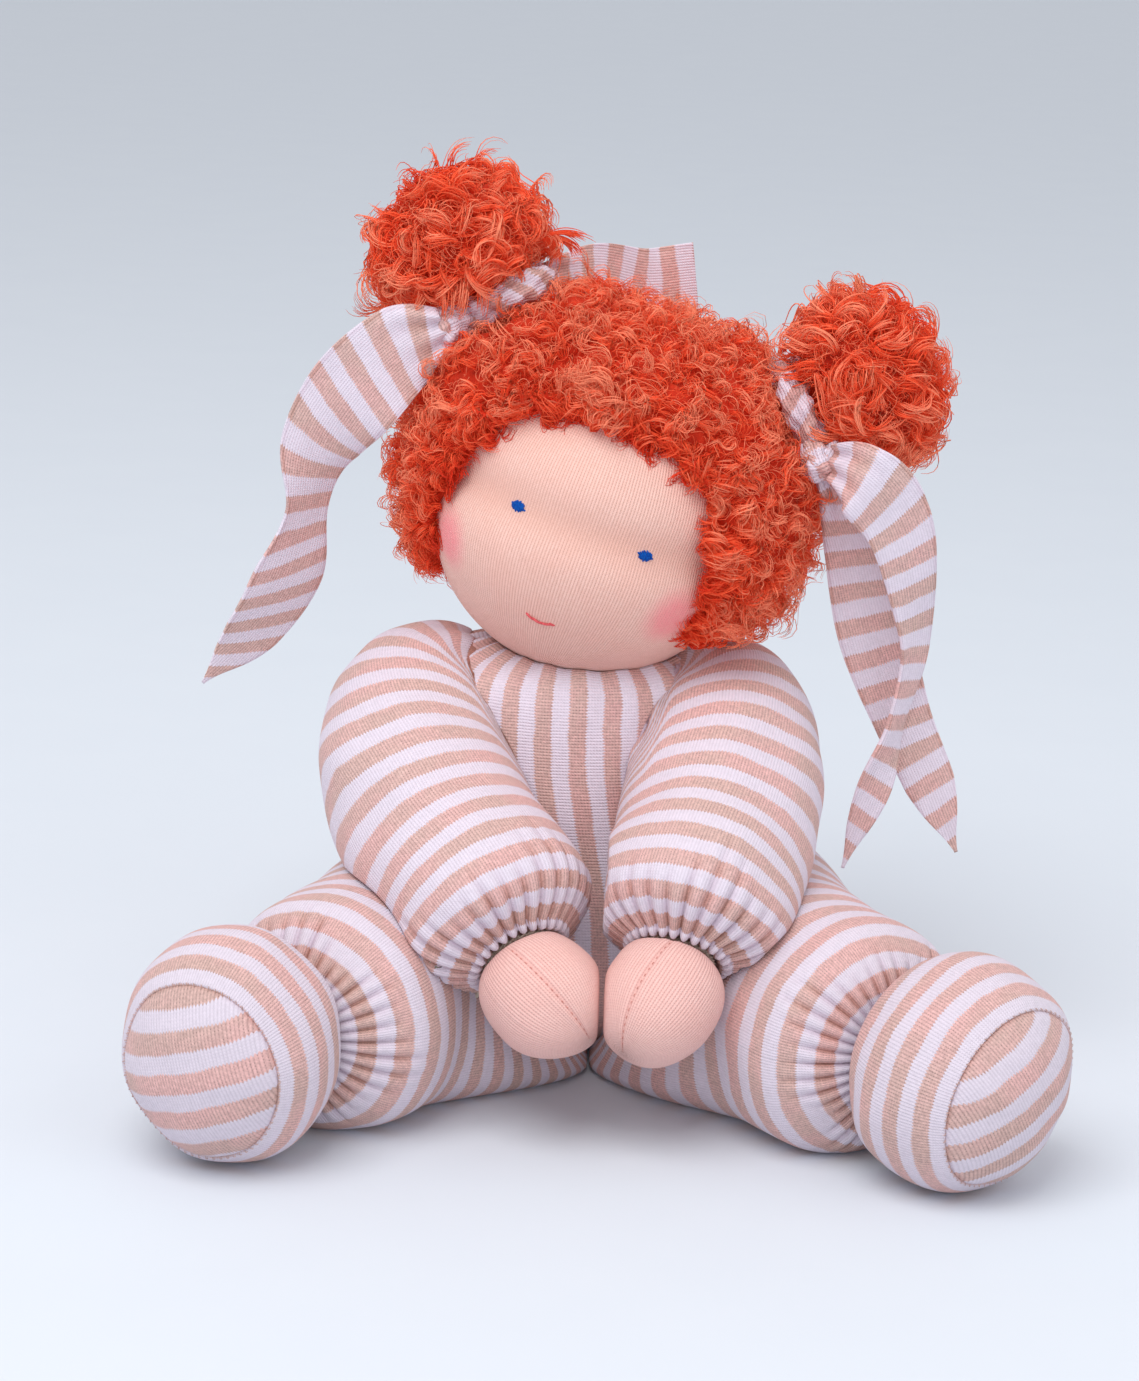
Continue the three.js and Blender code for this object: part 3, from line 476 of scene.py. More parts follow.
def along_line(line, distances):
    """The places and directions at distances along a line."""
    steps = np.linalg.norm(np.diff(line, axis=0), axis=1)
    reach = np.concatenate([[0], np.cumsum(steps)])
    directions = unit(np.gradient(line, axis=0))
    places = np.stack([np.interp(distances, reach, line[:, k]) for k in range(3)], axis=-1)
    ahead = np.stack([np.interp(distances, reach, directions[:, k]) for k in range(3)], axis=-1)
    return places, unit(ahead), reach[-1]


def rings_along(places, ahead, lifted, across_radius, high_radius, sides):
    """Oval rings round the places of a line."""
    across = unit(np.cross(ahead, np.array(lifted, float)))
    lift = np.cross(across, ahead)
    turn = full_turn(sides)[None, :, None]
    wide = np.broadcast_to(across_radius, len(places))[:, None, None]
    high = np.broadcast_to(high_radius, len(places))[:, None, None]
    return places[:, None] + across[:, None] * np.cos(turn) * wide + lift[:, None] * np.sin(turn) * high


def cords(lines, radius, sides=5):
    """Thin round cords along lines that have the same number of points, as a tube of rings for each."""
    ahead = unit(np.gradient(lines, axis=1))
    guide = np.array([0.31, 0.52, 0.79])
    across = unit(np.cross(ahead, guide))
    lift = np.cross(across, ahead)
    turn = full_turn(sides)
    size = np.broadcast_to(radius, lines.shape[:2])[..., None, None]
    spread = across[:, :, None] * np.cos(turn)[:, None] + lift[:, :, None] * np.sin(turn)[:, None]
    return lines[:, :, None] + spread * size


def thread_material(name, colour, shade):
    """Twisted cotton: light plies with painted shade in the groove between them."""
    material, tree, shader = new_material(name)
    plies = fine_noise(tree, 0.7, 3.0, 0.7)
    plies_with_painted_shade = blend_colours(tree, ramp(tree, plies, 0.35, 0.65), shade, colour)
    tree.links.new(plies_with_painted_shade, shader.inputs["Base Color"])
    give_relief(tree, shader, 0.6, 0.0002, plies)
    set_surface(shader, Roughness=0.7, Specular_IOR_Level=0.2)
    return material


cotton_thread = thread_material("cotton_thread", (0.80, 0.70, 0.60, 1), (0.55, 0.44, 0.36, 1))


def tie_with_thread(name, node, rides_on, centre, axis, radius):
    """Two plies of thread wound once round an axis."""
    axis = unit(np.array(axis, float))
    sideways = unit(np.cross(axis, [0.3, 0.2, 0.93]))
    third = np.cross(axis, sideways)
    turn = np.linspace(0, 2 * math.pi, 160)[:, None]
    plies = []
    for start in (0, math.pi):
        twist = turn * round(radius * 1.6) + start
        out = radius + 0.36 * np.cos(twist)
        ring = centre + sideways * np.cos(turn) * out + third * np.sin(turn) * out
        plies.append(ring + axis * 0.36 * np.sin(twist))
    tie = cords(np.array(plies), 0.38)
    make_piece(name, tie, rides_on, cotton_thread, [node], capped=False)


def skin_material(name, skin, shade, wale, blushes=()):
    """Fine plain jersey in a skin colour, with its ribs down the face, painted shade between its stitches and
    where its mark is set, and a soft blush where wanted.
    """
    material, tree, shader = new_material(name)
    cloth = add_node(tree, "ShaderNodeUVMap", uv_map="cloth").outputs[0]
    hollow = add_node(tree, "ShaderNodeAttribute", attribute_name="mark").outputs["Fac"]
    stitches = add_node(tree, "ShaderNodeGroup", node_tree=knit)
    tree.links.new(cloth, stitches.inputs["Cloth"])
    stitches.inputs["Wale"].default_value = wale
    stitches.inputs["Course"].default_value = wale * 0.8
    uneven = ramp(tree, fine_noise(tree, 1.3, 4.0, 0.75), 0.3, 0.7)
    patchy = ramp(tree, fine_noise(tree, 18), 0.35, 0.65)
    warm = blend_colours(tree, patchy, skin, [skin[0], skin[1] * 0.95, skin[2] * 0.94, 1])
    threads = blend_colours(tree, sum_up(tree, "MULTIPLY", uneven, 0.35), warm, shade)
    # Painted shade in the gaps between stitches and between the ribs; the uneven threads are the yarn's own
    # tone.
    hole_shade_weight = sum_up(tree, "MULTIPLY", stitches.outputs["Hole"], 0.8)
    ribs = sum_up(tree, "MULTIPLY", stitches.outputs["Rib"], 0.55)
    with_painted_rib_shade = blend_colours(tree, ribs, threads, shade)
    colour = blend_colours(tree, hole_shade_weight, with_painted_rib_shade, [0.8 * c for c in shade[:3]] + [1])
    # Painted shade: where the mark is set, in grooves, the skin is darkened.
    colour = blend_colours(tree, hollow, colour, shade)
    coordinates = tree.nodes.new("ShaderNodeTexCoord").outputs["Object"]
    for centre, size, strength, rouge in blushes:
        off = add_node(tree, "ShaderNodeVectorMath", [(0, coordinates), (1, centre)], operation="DISTANCE")
        near = ramp(tree, off.outputs["Value"], size * 0.25, size, strength, 0.0)
        mottled = sum_up(tree, "MULTIPLY", near, ramp(tree, fine_noise(tree, 2.0, 3.0), 0.2, 0.6, 0.75, 1.0))
        colour = blend_colours(tree, mottled, colour, rouge)
    tree.links.new(colour, shader.inputs["Base Color"])
    height = sum_up(tree, "MULTIPLY_ADD", fine_noise(tree, 0.7, 4.0, 0.8), 0.3, stitches.outputs["Height"])
    give_relief(tree, shader, 0.75, 0.0004, height)
    set_surface(shader, Roughness=0.85, Specular_IOR_Level=0.25, Sheen_Weight=0.1)
    return material


neck_jersey = skin_material("neck_jersey", (0.86, 0.51, 0.44, 1), (0.66, 0.33, 0.27, 1), 0.7)
neck_heights = np.linspace(107.2, 130.4, 40)
from_tie = neck_heights - neck_tie_height
neck_waist = 14 - 1.1 * np.exp(-(from_tie / 1.6) ** 2)
neck_places = np.concatenate([np.tile(neck_middle, (40, 1)), neck_heights[:, None]], axis=1)
neck_form = rings_along(neck_places, np.tile([0, 0, 1.0], (40, 1)), (0, -1, 0), neck_waist, neck_waist, 96)
folds = np.cos(full_turn(96) * 16) * np.exp(-(from_tie / 6) ** 2)[:, None]
neck_form += outward(neck_form) * (0.35 * folds)[..., None]
neck_cloth = cloth_on(neck_form, 88)
neck = make_piece("neck_stalk", neck_form, "neck", neck_jersey, ["neck"], neck_cloth)
neck_tie_middle = np.append(neck_middle, neck_tie_height)
tie_with_thread("neck_tie", "neck_tie_thread", "neck", neck_tie_middle, (0, 0, 1), 15.2)

# Legs: tubes of the same jersey with ring stripes, stuffed with wool, that lie on the floor from the hips.
# Each is sewn to the body, and its end is gathered on a thread round the ankle, which throws deep pleats.
both_sides = ((-1, "right"), (1, "left"))
leg_radius = 41
leg_end_radius = 37
leg_end_rounding = 23
leg_sides = 288
leg_last_part = 24
leg_wool_starts = 52
pleats_round_ankle = 34
hip_line_height = 39.5
hip_hollow_radius = 42.9
hip_hollow_half_length = 51.6


def gather(form, rim_distance, pleats, depth, full, fade, seed):
    """Pleats that radiate from a gathered end: the form with them, and how deep down in the folds each place
    lies, which the cloth takes as painted shade.
    """
    chance = np.random.default_rng(seed)
    turn = full_turn(form.shape[1])
    wobble = 0
    for k in (1, 2, 3, 5):
        wobble = wobble + chance.uniform(-0.35, 0.35) / k * np.sin(k * turn + chance.uniform(0, once_round))
    late = 1 + 0.25 * np.sin(3 * turn + chance.uniform(0, once_round))
    late = late + 0.2 * np.sin(7 * turn + chance.uniform(0, once_round))
    ridge = np.abs(np.sin(pleats * (turn + wobble * 2 / pleats) / 2)) ** 0.75
    strength = 1 - smooth_step(rim_distance[:, None] / late, full, fade)
    moved = form + outward(form) * (depth * strength * (ridge - 0.62))[..., None]
    return moved, strength * (1 - ridge) ** 1.3


def clear_of_tube(places, line, radii, gap):
    """Moves places inside a round tube out of it, straight away from its middle line."""
    flat = places.reshape(-1, 3)
    nearest = np.argmin(((flat[:, None] - line[None, ::8]) ** 2).sum(-1), axis=1)
    centre = line[::8][nearest]
    size = (radii[::8][nearest] + gap)[:, None]
    off = flat - centre
    distance = np.linalg.norm(off, axis=1, keepdims=True)
    moved = np.where(distance < size, centre + off * size / np.maximum(distance, 1e-6), flat)
    return moved.reshape(places.shape)


def clear_of_hips(places):
    """The round hollow in which a leg turns on the body, about the hip line."""
    out = np.abs(places[..., 0]) / hip_hollow_half_length
    y = places[..., 1]
    z = places[..., 2] - hip_line_height
    radial = np.hypot(y, z)
    limit = hip_hollow_radius * np.clip(1 - out**6, 0, 1) ** (1 / 6)
    push = np.where(radial < limit, limit / np.maximum(radial, 1e-6), 1)
    moved = places.copy()
    moved[..., 1] = y * push
    moved[..., 2] = hip_line_height + z * push
    return moved


def settled(form, side, places, ahead, distances):
    """A leg's stuffing sinks: the leg spreads on the floor, and near the body it fills out to the middle."""
    inner = np.cross(ahead, [0, 0, 1.0])
    inner = unit(inner) * np.sign(-side * inner[:, :1])
    aside = smooth_step(((form - places[:, None]) * inner[:, None]).sum(-1), -2, 19)
    low = (1 - smooth_step(form[..., 2], 4, 40)) * aside * (1 - smooth_step(distances, 54, 108))[:, None]
    moved = form.copy()
    moved[..., 0] = side * (0.3 + (np.abs(form[..., 0]) - 0.3) * (1 - low))
    moved[..., 1] -= 6 * low
    moved[..., 2] *= 1 - 0.45 * low
    return moved


def eased(form, rounds):
    """Softens a form's dents by drawing each place towards its neighbours."""
    for _ in range(rounds):
        beside = (np.roll(form, 1, axis=1) + np.roll(form, -1, axis=1)) / 2
        before = (form[:-2] + form[2:]) / 2
        form[1:-1] = form[1:-1] * 0.4 + beside[1:-1] * 0.3 + before * 0.3
    return form


# Painted shade: the legs' jersey is a darker copy of the body's.
leg_jersey = jersey_material("leg_jersey", 12, 0.48, 6 - 28.5, tone=0.89)
crotch = np.array([0, -32.0, 10])
crotch_crowding = {-1: 72, 1: 34}
leg_plan = {-1: [(24, 20), (44, -4), (67, -52), (93, -109)], 1: [(24, 20), (44, -4), (62, -54), (95, -111)]}
leg_lines = {}
leg_ends = {}
for side, name in both_sides:
    heights_on_plan = (leg_radius, leg_radius, leg_end_radius, leg_end_radius)
    line = smooth_line([(side * x, y, high - 0.5) for (x, y), high in zip(leg_plan[side], heights_on_plan)])
    _, _, length = along_line(line, [0])
    start = leg_radius * (1 - np.cos(np.linspace(0.06, 1, 40) * math.pi / 2))
    middle = np.linspace(start[-1], length - leg_last_part, 120)[1:]
    end = length - leg_last_part + 23.9 * np.sin(np.linspace(0, 1, 60)[1:] * math.pi / 2)
    distances = np.concatenate([start, middle, end])
    places, ahead, _ = along_line(line, distances)
    full = leg_radius + (leg_end_radius - leg_radius) * distances / length
    radius = full * rounded_end(distances, leg_radius, 2)
    radius = radius * rounded_end(length - distances, leg_end_rounding, 2.1)
    keep = (distances < length / 2) | (radius > 14)
    places, ahead, distances, radius = places[keep], ahead[keep], distances[keep], radius[keep]
    tucked, tucked_ahead, _ = along_line(line, [length, length - 1.5, length - 7])
    places = np.concatenate([places, tucked])
    ahead = np.concatenate([ahead, tucked_ahead])
    radius = np.concatenate([radius, [13.6, 12.9, 12.9]])
    form = rings_along(places, ahead, (0, 0, 1), radius, radius, leg_sides)
    form += outward(form) * (0.7 * lumps(form, 30, 11 + side))[..., None]
    cloth = cloth_on(form, 9.3 * 27)
    rim = cloth[-4, 0, 1] - cloth[:, 0, 1]
    cloth[..., 1] = rim[:, None]
    turn = full_turn(leg_sides)
    squarer = (np.abs(np.cos(turn)) ** 2.6 + np.abs(np.sin(turn)) ** 2.6) ** (-1 / 2.6)
    below = np.where(np.sin(turn) < 0, squarer, 1)
    below = 1 + (below[None] - 1) * smooth_step(rim, 8, 40)[:, None]
    form = places[:, None] + (form - places[:, None]) * below[..., None]
    form = settled(form, side, places, ahead, np.concatenate([distances, [length] * 3]))
    dented = clear_of_hips(clear_of_body(form, 0.8))
    dented[..., 0] = side * np.maximum(side * dented[..., 0], 0.3)
    dented = eased(dented, 2)
    dented = clear_of_hips(clear_of_body(dented, 0.6))
    dented[..., 0] = side * np.maximum(side * dented[..., 0], 0.25)
    from_crotch = np.linalg.norm(dented - crotch, axis=2)
    crowded = np.concatenate([from_crotch, from_crotch[:, :1]], axis=1)
    cloth[..., 1] += crotch_crowding[side] * np.clip(1 - crowded / 85, 0, 1) ** 2
    # The pleats' depth becomes painted shade on the leg's cloth.
    dented, crease_painted_shade = gather(dented, np.maximum(rim, 0), pleats_round_ankle, 2.1, 10, 27, 21 + side)
    dented[..., 2] = np.maximum(dented[..., 2], 0.1)
    leg = make_piece(f"{name}_leg_jersey", dented, f"{name}_leg", leg_jersey,
                     [f"{name}_leg_cover"], cloth, crease_painted_shade, capped=False)
    wool_from = np.argmax(distances > leg_wool_starts)
    stuff_with_wool(f"{name}_leg_filling", f"{name}_leg", dented[wool_from:-4], 3.0)
    reached = np.linspace(0, length, 400)
    fine, fine_ahead, _ = along_line(line, reached)
    fine_radius = leg_radius + (leg_end_radius - leg_radius) * np.linspace(0, 1, 400)
    fine_radius *= rounded_end(reached, leg_radius, 2)
    leg_lines[side] = (fine, fine_radius * rounded_end(length - reached, leg_end_rounding, 2.1))
    leg_ends[side] = (fine[-1], fine_ahead[-1])
    tied_at = fine[-1] - 1.4 * fine_ahead[-1]
    tie_with_thread(f"{name}_ankle_tie", f"{name}_ankle_thread", f"{name}_leg", tied_at, fine_ahead[-1], 12.2)

# Feet: round booties of the striped jersey, stuffed hard and nested in the gathered end of each leg.
# The stripes run parallel to the sole, which is a separate oval panel, set in and stitched round its seam.
foot_length = 74
foot_width = 67
foot_half_thickness = 33
sole_radius = 25.8
sole_dip = math.radians(5)
sole_turned = {-1: math.radians(20), 1: math.radians(40)}
toe_rolled = {-1: math.radians(5), 1: math.radians(30)}
panel_tilted = {-1: math.radians(12), 1: math.radians(60)}
panel_shrunk = {-1: 0.93, 1: 1}
panel_start = {-1: 62.8, 1: 62.5}
foot_sides = 220
# Painted shade: the feet's and the soles' jersey are darker copies of the body's.
foot_jersey = jersey_material("foot_jersey", 10.6, 0.48, 5.3 - 2.4, tone=0.87)
sole_jersey = jersey_material("sole_jersey", 11.4, 0.48, 4.4, tone=0.85)
seam_thread = thread_material("seam_thread", (0.68, 0.46, 0.40, 1), (0.50, 0.30, 0.25, 1))


def stitch_along(name, rides_on, line, facing, pitch, length, radius, slant=0.0, thread=seam_thread):
    """Short hand stitches one after another along a seam, sunk at both ends."""
    steps = np.linalg.norm(np.diff(line, axis=0), axis=1)
    count = int(steps.sum() / pitch)
    middles, ahead, _ = along_line(line, (np.arange(count) + 0.5) * pitch)
    out = unit(np.stack([np.interp(np.arange(count) + 0.5, np.linspace(0, count, len(line)), facing[:, k])
                         for k in range(3)], axis=-1))
    beside = np.cross(ahead, out)
    way = unit(ahead * math.cos(slant) + beside * math.sin(slant))
    share = np.linspace(-1, 1, 6)[None, :, None]
    lines = middles[:, None] + way[:, None] * share * length / 2 + out[:, None] * (0.28 - 0.5 * share**2)
    make_piece(name, cords(lines, radius), rides_on, thread, capped=False)


for side, name in both_sides:
    sole_turn = sole_turned[side]
    toe_roll = toe_rolled[side]
    ankle, axis = leg_ends[side]
    out = np.array([-side * axis[1], side * axis[0], 0])
    half_height = math.hypot(foot_length * math.cos(toe_roll), foot_width * math.sin(toe_roll)) / 2
    centre = ankle + 16 * axis + 12 * out
    centre[2] = half_height - 0.5
    sole = unit(np.array([side * math.sin(sole_turn), -math.cos(sole_turn), -math.tan(sole_dip)]))
    roll = -side * toe_roll
    toe = np.array([0, 0, 1]) * math.cos(roll) + np.cross(sole, [0, 0, 1]) * math.sin(roll)
    toe = unit(toe - sole * (toe @ sole))
    seam_at = foot_half_thickness * math.sqrt(1 - (sole_radius / (foot_width / 2)) ** 2)
    seam_angle = math.asin(seam_at / foot_half_thickness) / (math.pi / 2)
    depth = foot_half_thickness * np.sin(np.linspace(-0.985, seam_angle, 130) * math.pi / 2)
    share = np.sqrt(np.clip(1 - np.abs(depth / foot_half_thickness) ** 2.1, 0, 1))
    form = rings_along(centre + depth[:, None] * sole, np.tile(sole, (len(depth), 1)), toe,
                       foot_width / 2 * share, foot_length / 2 * share, foot_sides)
    form += outward(form) * (0.6 * lumps(form, 26, 31 + side))[..., None]
    behind = np.minimum((form - ankle) @ axis - 1.0, 0)
    form -= behind[..., None] * axis
    form[..., 2] = np.maximum(form[..., 2], 0.1)
    turned_in = form[-1] - sole * 0.9
    turned_in = centre + seam_at * sole + (turned_in - centre - seam_at * sole) * 0.93
    cloth = cloth_on(form, 9.6 * 22)
    cloth[..., 1] = cloth[-1, 0, 1] - cloth[..., 1]
    rim_cloth = cloth[-1:] - np.array([0, 1.2])
    # Painted shade on the ring that turns in under the sole's seam.
    foot_rim_painted_shade = np.concatenate([np.zeros(form.shape[:2]), np.full((1, foot_sides), 0.5)])
    foot_form = np.concatenate([form, turned_in[None]])
    foot_cloth = np.concatenate([cloth, rim_cloth])
    foot = make_piece(f"{name}_foot_jersey", foot_form, f"{name}_foot", foot_jersey,
                      [f"{name}_foot_cover"], foot_cloth, foot_rim_painted_shade, capped=False)
    stuff_with_wool(f"{name}_foot_filling", f"{name}_foot", form, 1.6)
    rim = form[-1]
    across_panel = unit(np.cross(sole, toe))
    inner = np.linspace(1, 0.02, 70)[:, None, None]
    middle = centre + sole * seam_at
    panel = middle + (rim - middle)[None] * inner * 0.985
    crown = 11.8 * (1 - inner[..., 0] ** 2.3) ** 0.85 - 0.4 * np.exp(-((inner[..., 0] - 1) / 0.03) ** 2)
    panel = panel + sole * (crown + 0.25 * lumps(panel, 16, 5))[..., None]
    panel[..., 2] = np.maximum(panel[..., 2], 0.1)
    flat = panel - middle
    tilt = panel_tilted[side]
    rise = flat @ toe * math.cos(tilt) + flat @ across_panel * math.sin(tilt)
    run = flat @ across_panel * math.cos(tilt) - flat @ toe * math.sin(tilt)
    cloth = np.stack([run, rise * panel_shrunk[side]], axis=-1) + panel_start[side]
    cloth = np.concatenate([cloth, cloth[:, :1]], axis=1)
    # Painted shade round the sole's edge, where it is set into the foot.
    sole_edge_painted_shade = np.exp(-((inner[..., 0] - 1) / 0.02) ** 2) * np.ones((1, foot_sides)) * 0.4
    sole_piece = make_piece(f"{name}_sole_jersey", panel, f"{name}_foot", sole_jersey,
                            [f"{name}_sole_panel"], cloth, sole_edge_painted_shade)
    ring = np.vstack([rim, rim[:1]])
    facing = unit(unit(ring - middle) + sole * 0.9)
    stitch_along(f"{name}_sole_stitches", f"{name}_foot", ring, facing, 2.4, 1.1, 0.11, 0.9)

# Arms: sleeves of the same jersey, sewn on at the shoulders with their stripes as rings, stuffed softly.
# They come forward into the lap, and each end is gathered round the wrist into a frilled white rim.
cuff_pleats = 28
wrist_rim_radius = 16.9
sleeve_radius = 31
sleeve_sides = 216
sleeve_steps = 900
cuff_length = 14
between_hands = 2.8
# Painted shade: the sleeves' jersey is a darker copy of the body's.
sleeve_jersey = jersey_material("sleeve_jersey", 10.8, 0.48, -3.4, tone=0.91)
shoulder_at = {-1: np.array([-56.0, -2, 112]), 1: np.array([36.0, -2, 112])}
arm_bends = {
    -1: [(-28, 2, -4), (0, -4, 0), (4, -24, -10), (-8, -52, -30), (-22, -73, -42), (-33, -87, -55)],
    1: [(-28, 2, -4), (1, -4, 0), (5, -24, -9), (1, -53, -28), (-5, -75, -39), (-10, -89, -53)],
}
wrists = {}
for side, name in both_sides:
    pivot = shoulder_at[side]
    line = smooth_line([pivot + (side * x, y, z) for x, y, z in arm_bends[side]])
    _, _, length = along_line(line, [0])
    reached = np.linspace(0.2, length - 0.2, sleeve_steps)
    places, ahead, _ = along_line(line, reached)
    for _ in range(2500):
        ahead[1:-1] = ahead[1:-1] * 0.5 + (ahead[2:] + ahead[:-2]) * 0.25
    full = sleeve_radius + 1.5 * smooth_step(reached, 0, length / 2)
    radius = full * rounded_end(reached, sleeve_radius, 2) * rounded_end(length - reached, 19, 2.25)
    tube = rings_along(places, unit(ahead), (0, 0, 1), radius, radius, sleeve_sides)
    wide, deep, middle_x, middle_y = body_sizes(np.clip(tube[..., 2], 0, body_height - 0.5))
    within = ((tube[..., 0] - middle_x) / wide) ** 2 + ((tube[..., 1] - middle_y) / deep) ** 2
    inside = (within < 1) & (tube[..., 2] < body_height) & (reached[:, None] < length / 2)
    cut = reached[sleeve_steps - 1 - np.argmax(inside[::-1], axis=0)]
    for _ in range(6):
        cut = (np.roll(cut, 1) + cut * 2 + np.roll(cut, -1)) / 4
    cut = cut - 0.5
    rim_at = reached[(radius > wrist_rim_radius) & (reached > length / 2)][-1]
    last_part = cuff_length / (rim_at - cut.mean())
    share = np.concatenate([np.linspace(0, 1, 200, endpoint=False) * (1 - last_part),
                            1 - last_part * (1 - np.sin(np.linspace(0, 1, 60) * math.pi / 2))])
    wanted = cut.mean() + (rim_at - cut.mean()) * share[:, None]
    wanted = wanted + (cut[None] - cut.mean()) * (1 - smooth_step(wanted, cut.mean(), cut.mean() + 55))
    position = np.interp(wanted, reached, np.arange(sleeve_steps))
    lower = np.clip(position.astype(int), 0, sleeve_steps - 2)
    part = (position - lower)[..., None]
    sides_at = np.arange(sleeve_sides)[None]
    form = tube[lower, sides_at] * (1 - part) + tube[lower + 1, sides_at] * part
    tucked, tucked_ahead, _ = along_line(line, [length, length - 0.5, length - 2, length - 7])
    tucked = tucked + tucked_ahead * [[0.9], [0.4], [0], [0]]
    tucked_radii = np.array([16.2, 14.8, 12.8, 12.6])
    tucked = rings_along(tucked, tucked_ahead, (0, 0, 1), tucked_radii, tucked_radii, sleeve_sides)
    form = np.concatenate([form, tucked])
    seam = form[0] + unit([[chest_sideways, -chest_forward, 0]] - form[0] * [[1, 1, 0]]) * 1.8
    form += outward(form) * (0.7 * lumps(form, 30, 41 + side))[..., None]
    cloth = cloth_on(form, 9.2 * 22, slice(30, 78))
    rim = cloth[-5, 0, 1] - cloth[:, 0, 1]
    cloth[..., 1] = rim[:, None]
    shaped = form
    for soften in (4, 0):
        for leg_side in (-1, 1):
            shaped = clear_of_tube(shaped, *leg_lines[leg_side], 0.9)
        shaped = clear_of_body(shaped, 0.7)
        middle_plane = between_hands + side * 0.8
        shaped[..., 0] = side * np.maximum(side * shaped[..., 0], side * middle_plane)
        shaped = eased(shaped, soften)
    turn = full_turn(sleeve_sides)
    from_seam = cloth[0, 0, 1] - cloth[:, 0, 1]
    folds = np.sin(turn * 15 + 1.4 * np.sin(turn * 2) + side)[None] * np.exp(-(from_seam / 17) ** 2)[:, None]
    shaped += outward(shaped) * (0.75 * folds)[..., None]
    shaped[0] = seam
    shaped, crease_painted_shade = gather(shaped, np.maximum(rim, 0), cuff_pleats, 2.7, 9, 31, 51 + side)
    # Painted shade at the shoulder, where the sleeve meets the body, added to the pleats' painted shade.
    shoulder_painted_shade = np.exp(-(np.arange(len(shaped)) / 3.0) ** 2)[:, None]
    sleeve = make_piece(f"{name}_sleeve_jersey", shaped, None, sleeve_jersey,
                        [f"{name}_sleeve"], cloth, np.clip(crease_painted_shade + shoulder_painted_shade, 0, 1), capped=False)
    wrist, wrist_ahead, _ = along_line(line, [length])
    wrists[side] = (wrist[0], wrist_ahead[0])
    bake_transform(sleeve)
    wad = stuff_with_wool(f"{name}_arm_filling", None, shaped[22:-36], 3.4)
    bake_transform(wad)
    tied_at = wrist[0] - 1.4 * wrist_ahead[0]
    tie_with_thread(f"{name}_wrist_tie", f"{name}_wrist_thread", f"{name}_arm", tied_at, wrist_ahead[0], 11.7)

# Hands: plain ovals of pink jersey on a narrow neck, caught in the gathered wrist.
# One seam runs over each from the wrist to the tip, with its small stitches showing.
hand_jersey = skin_material("hand_jersey", (0.94, 0.62, 0.57, 1), (0.78, 0.40, 0.36, 1), 1.15)
hand_thread = thread_material("hand_thread", (0.78, 0.36, 0.31, 1), (0.60, 0.24, 0.20, 1))
hand_sides = 168
hand_aside = {-1: 0.3, 1: -1.7}
seam_turned = {-1: math.radians(50), 1: math.radians(100)}
for side, name in both_sides:
    wrist, axis = wrists[side]
    share = np.sin(np.linspace(-0.7, 0.985, 120) * math.pi / 2)
    size = np.where(share < 0, (1 - np.abs(share) ** 2.6) ** (1 / 2.3), np.sqrt(1 - share**2))
    centre = wrist + axis * 16.5 + np.array([hand_aside[side], 0, 1.0])
    long_way = unit(axis + np.array([-side * 0.28, 0, 0.06]))
    ball = rings_along(centre + long_way * (share * 20.8)[:, None], np.tile(long_way, (120, 1)), (0, 0, 1),
                       19.2 * size, 18.5 * size, hand_sides)
    stalk_at = wrist + axis * np.linspace(-9, 0.6, 14)[:, None]
    stalk = rings_along(stalk_at, np.tile(axis, (14, 1)), (0, 0, 1), 10.6, 10.6, hand_sides)
    ahead_by = ((ball - wrist) @ axis)[..., None]
    from_axis = ball - wrist - ahead_by * axis
    widest = 16.3 + 4.5 * smooth_step(ahead_by, -2, 15)
    from_axis *= np.minimum(1, widest / np.maximum(np.linalg.norm(from_axis, axis=-1, keepdims=True), 1e-6))
    ball = wrist + from_axis + np.maximum(ahead_by, 0.9) * axis
    form = np.concatenate([stalk, ball])
    form += outward(form) * (0.4 * lumps(form, 22, 61 + side))[..., None]
    aside = side * (form[..., 0] - between_hands) - 0.5
    form[..., 0] = between_hands + side * (0.5 + (aside + np.sqrt(aside**2 + 2)) / 2)
    turn = full_turn(hand_sides)
    seam_turn = seam_turned[side]
    off_seam = (turn - seam_turn + math.pi) % (2 * math.pi) - math.pi
    groove = np.exp(-(off_seam / 0.05) ** 2) - 0.55 * np.exp(-((np.abs(off_seam) - 0.13) / 0.06) ** 2)
    groove_size = np.interp(np.arange(len(form)), [0, 26, 36], [0, 0, 1])[:, None] * 0.5
    form -= outward(form) * (groove * groove_size)[..., None]
    # Painted shade down in the seam's groove.
    seam_groove_painted_shade = np.exp(-(off_seam / 0.035) ** 2)[None] * 0.55 * (groove_size > 0.1)
    hand = make_piece(f"{name}_hand_jersey", form, f"{name}_hand", hand_jersey,
                      [f"{name}_hand_cover"], cloth_on(form, 118), seam_groove_painted_shade * np.ones(form.shape[:2]))
    stuff_with_wool(f"{name}_hand_filling", f"{name}_hand", form[18:], 1.8)
    column = int(round(seam_turn / (2 * math.pi) * hand_sides))
    seam_line = form[32:-6, column]
    facing = outward(form)[32:-6, column]
    stitch_along(f"{name}_hand_stitches", f"{name}_hand", seam_line, facing, 2.4, 1.2, 0.13, 0.0, hand_thread)

# Head: a hard wool ball in a tube of fine skin-coloured jersey, its ribs running down the face.
# A thread tied round the ball inside draws in a soft groove along the eye line, darkened with painted shade.
# The cheeks are rouged.
lean = math.radians(17)
face_turn = math.radians(-7)
eye_line = 2
eye_line_depth = 3.0
head_opening = -76.5
head_sides = 300
cheek_size = 0.0135


def about_y(angle):
    turned = math.cos(angle)
    rise = math.sin(angle)
    return np.array([[turned, 0, rise], [0, 1, 0], [-rise, 0, turned]])


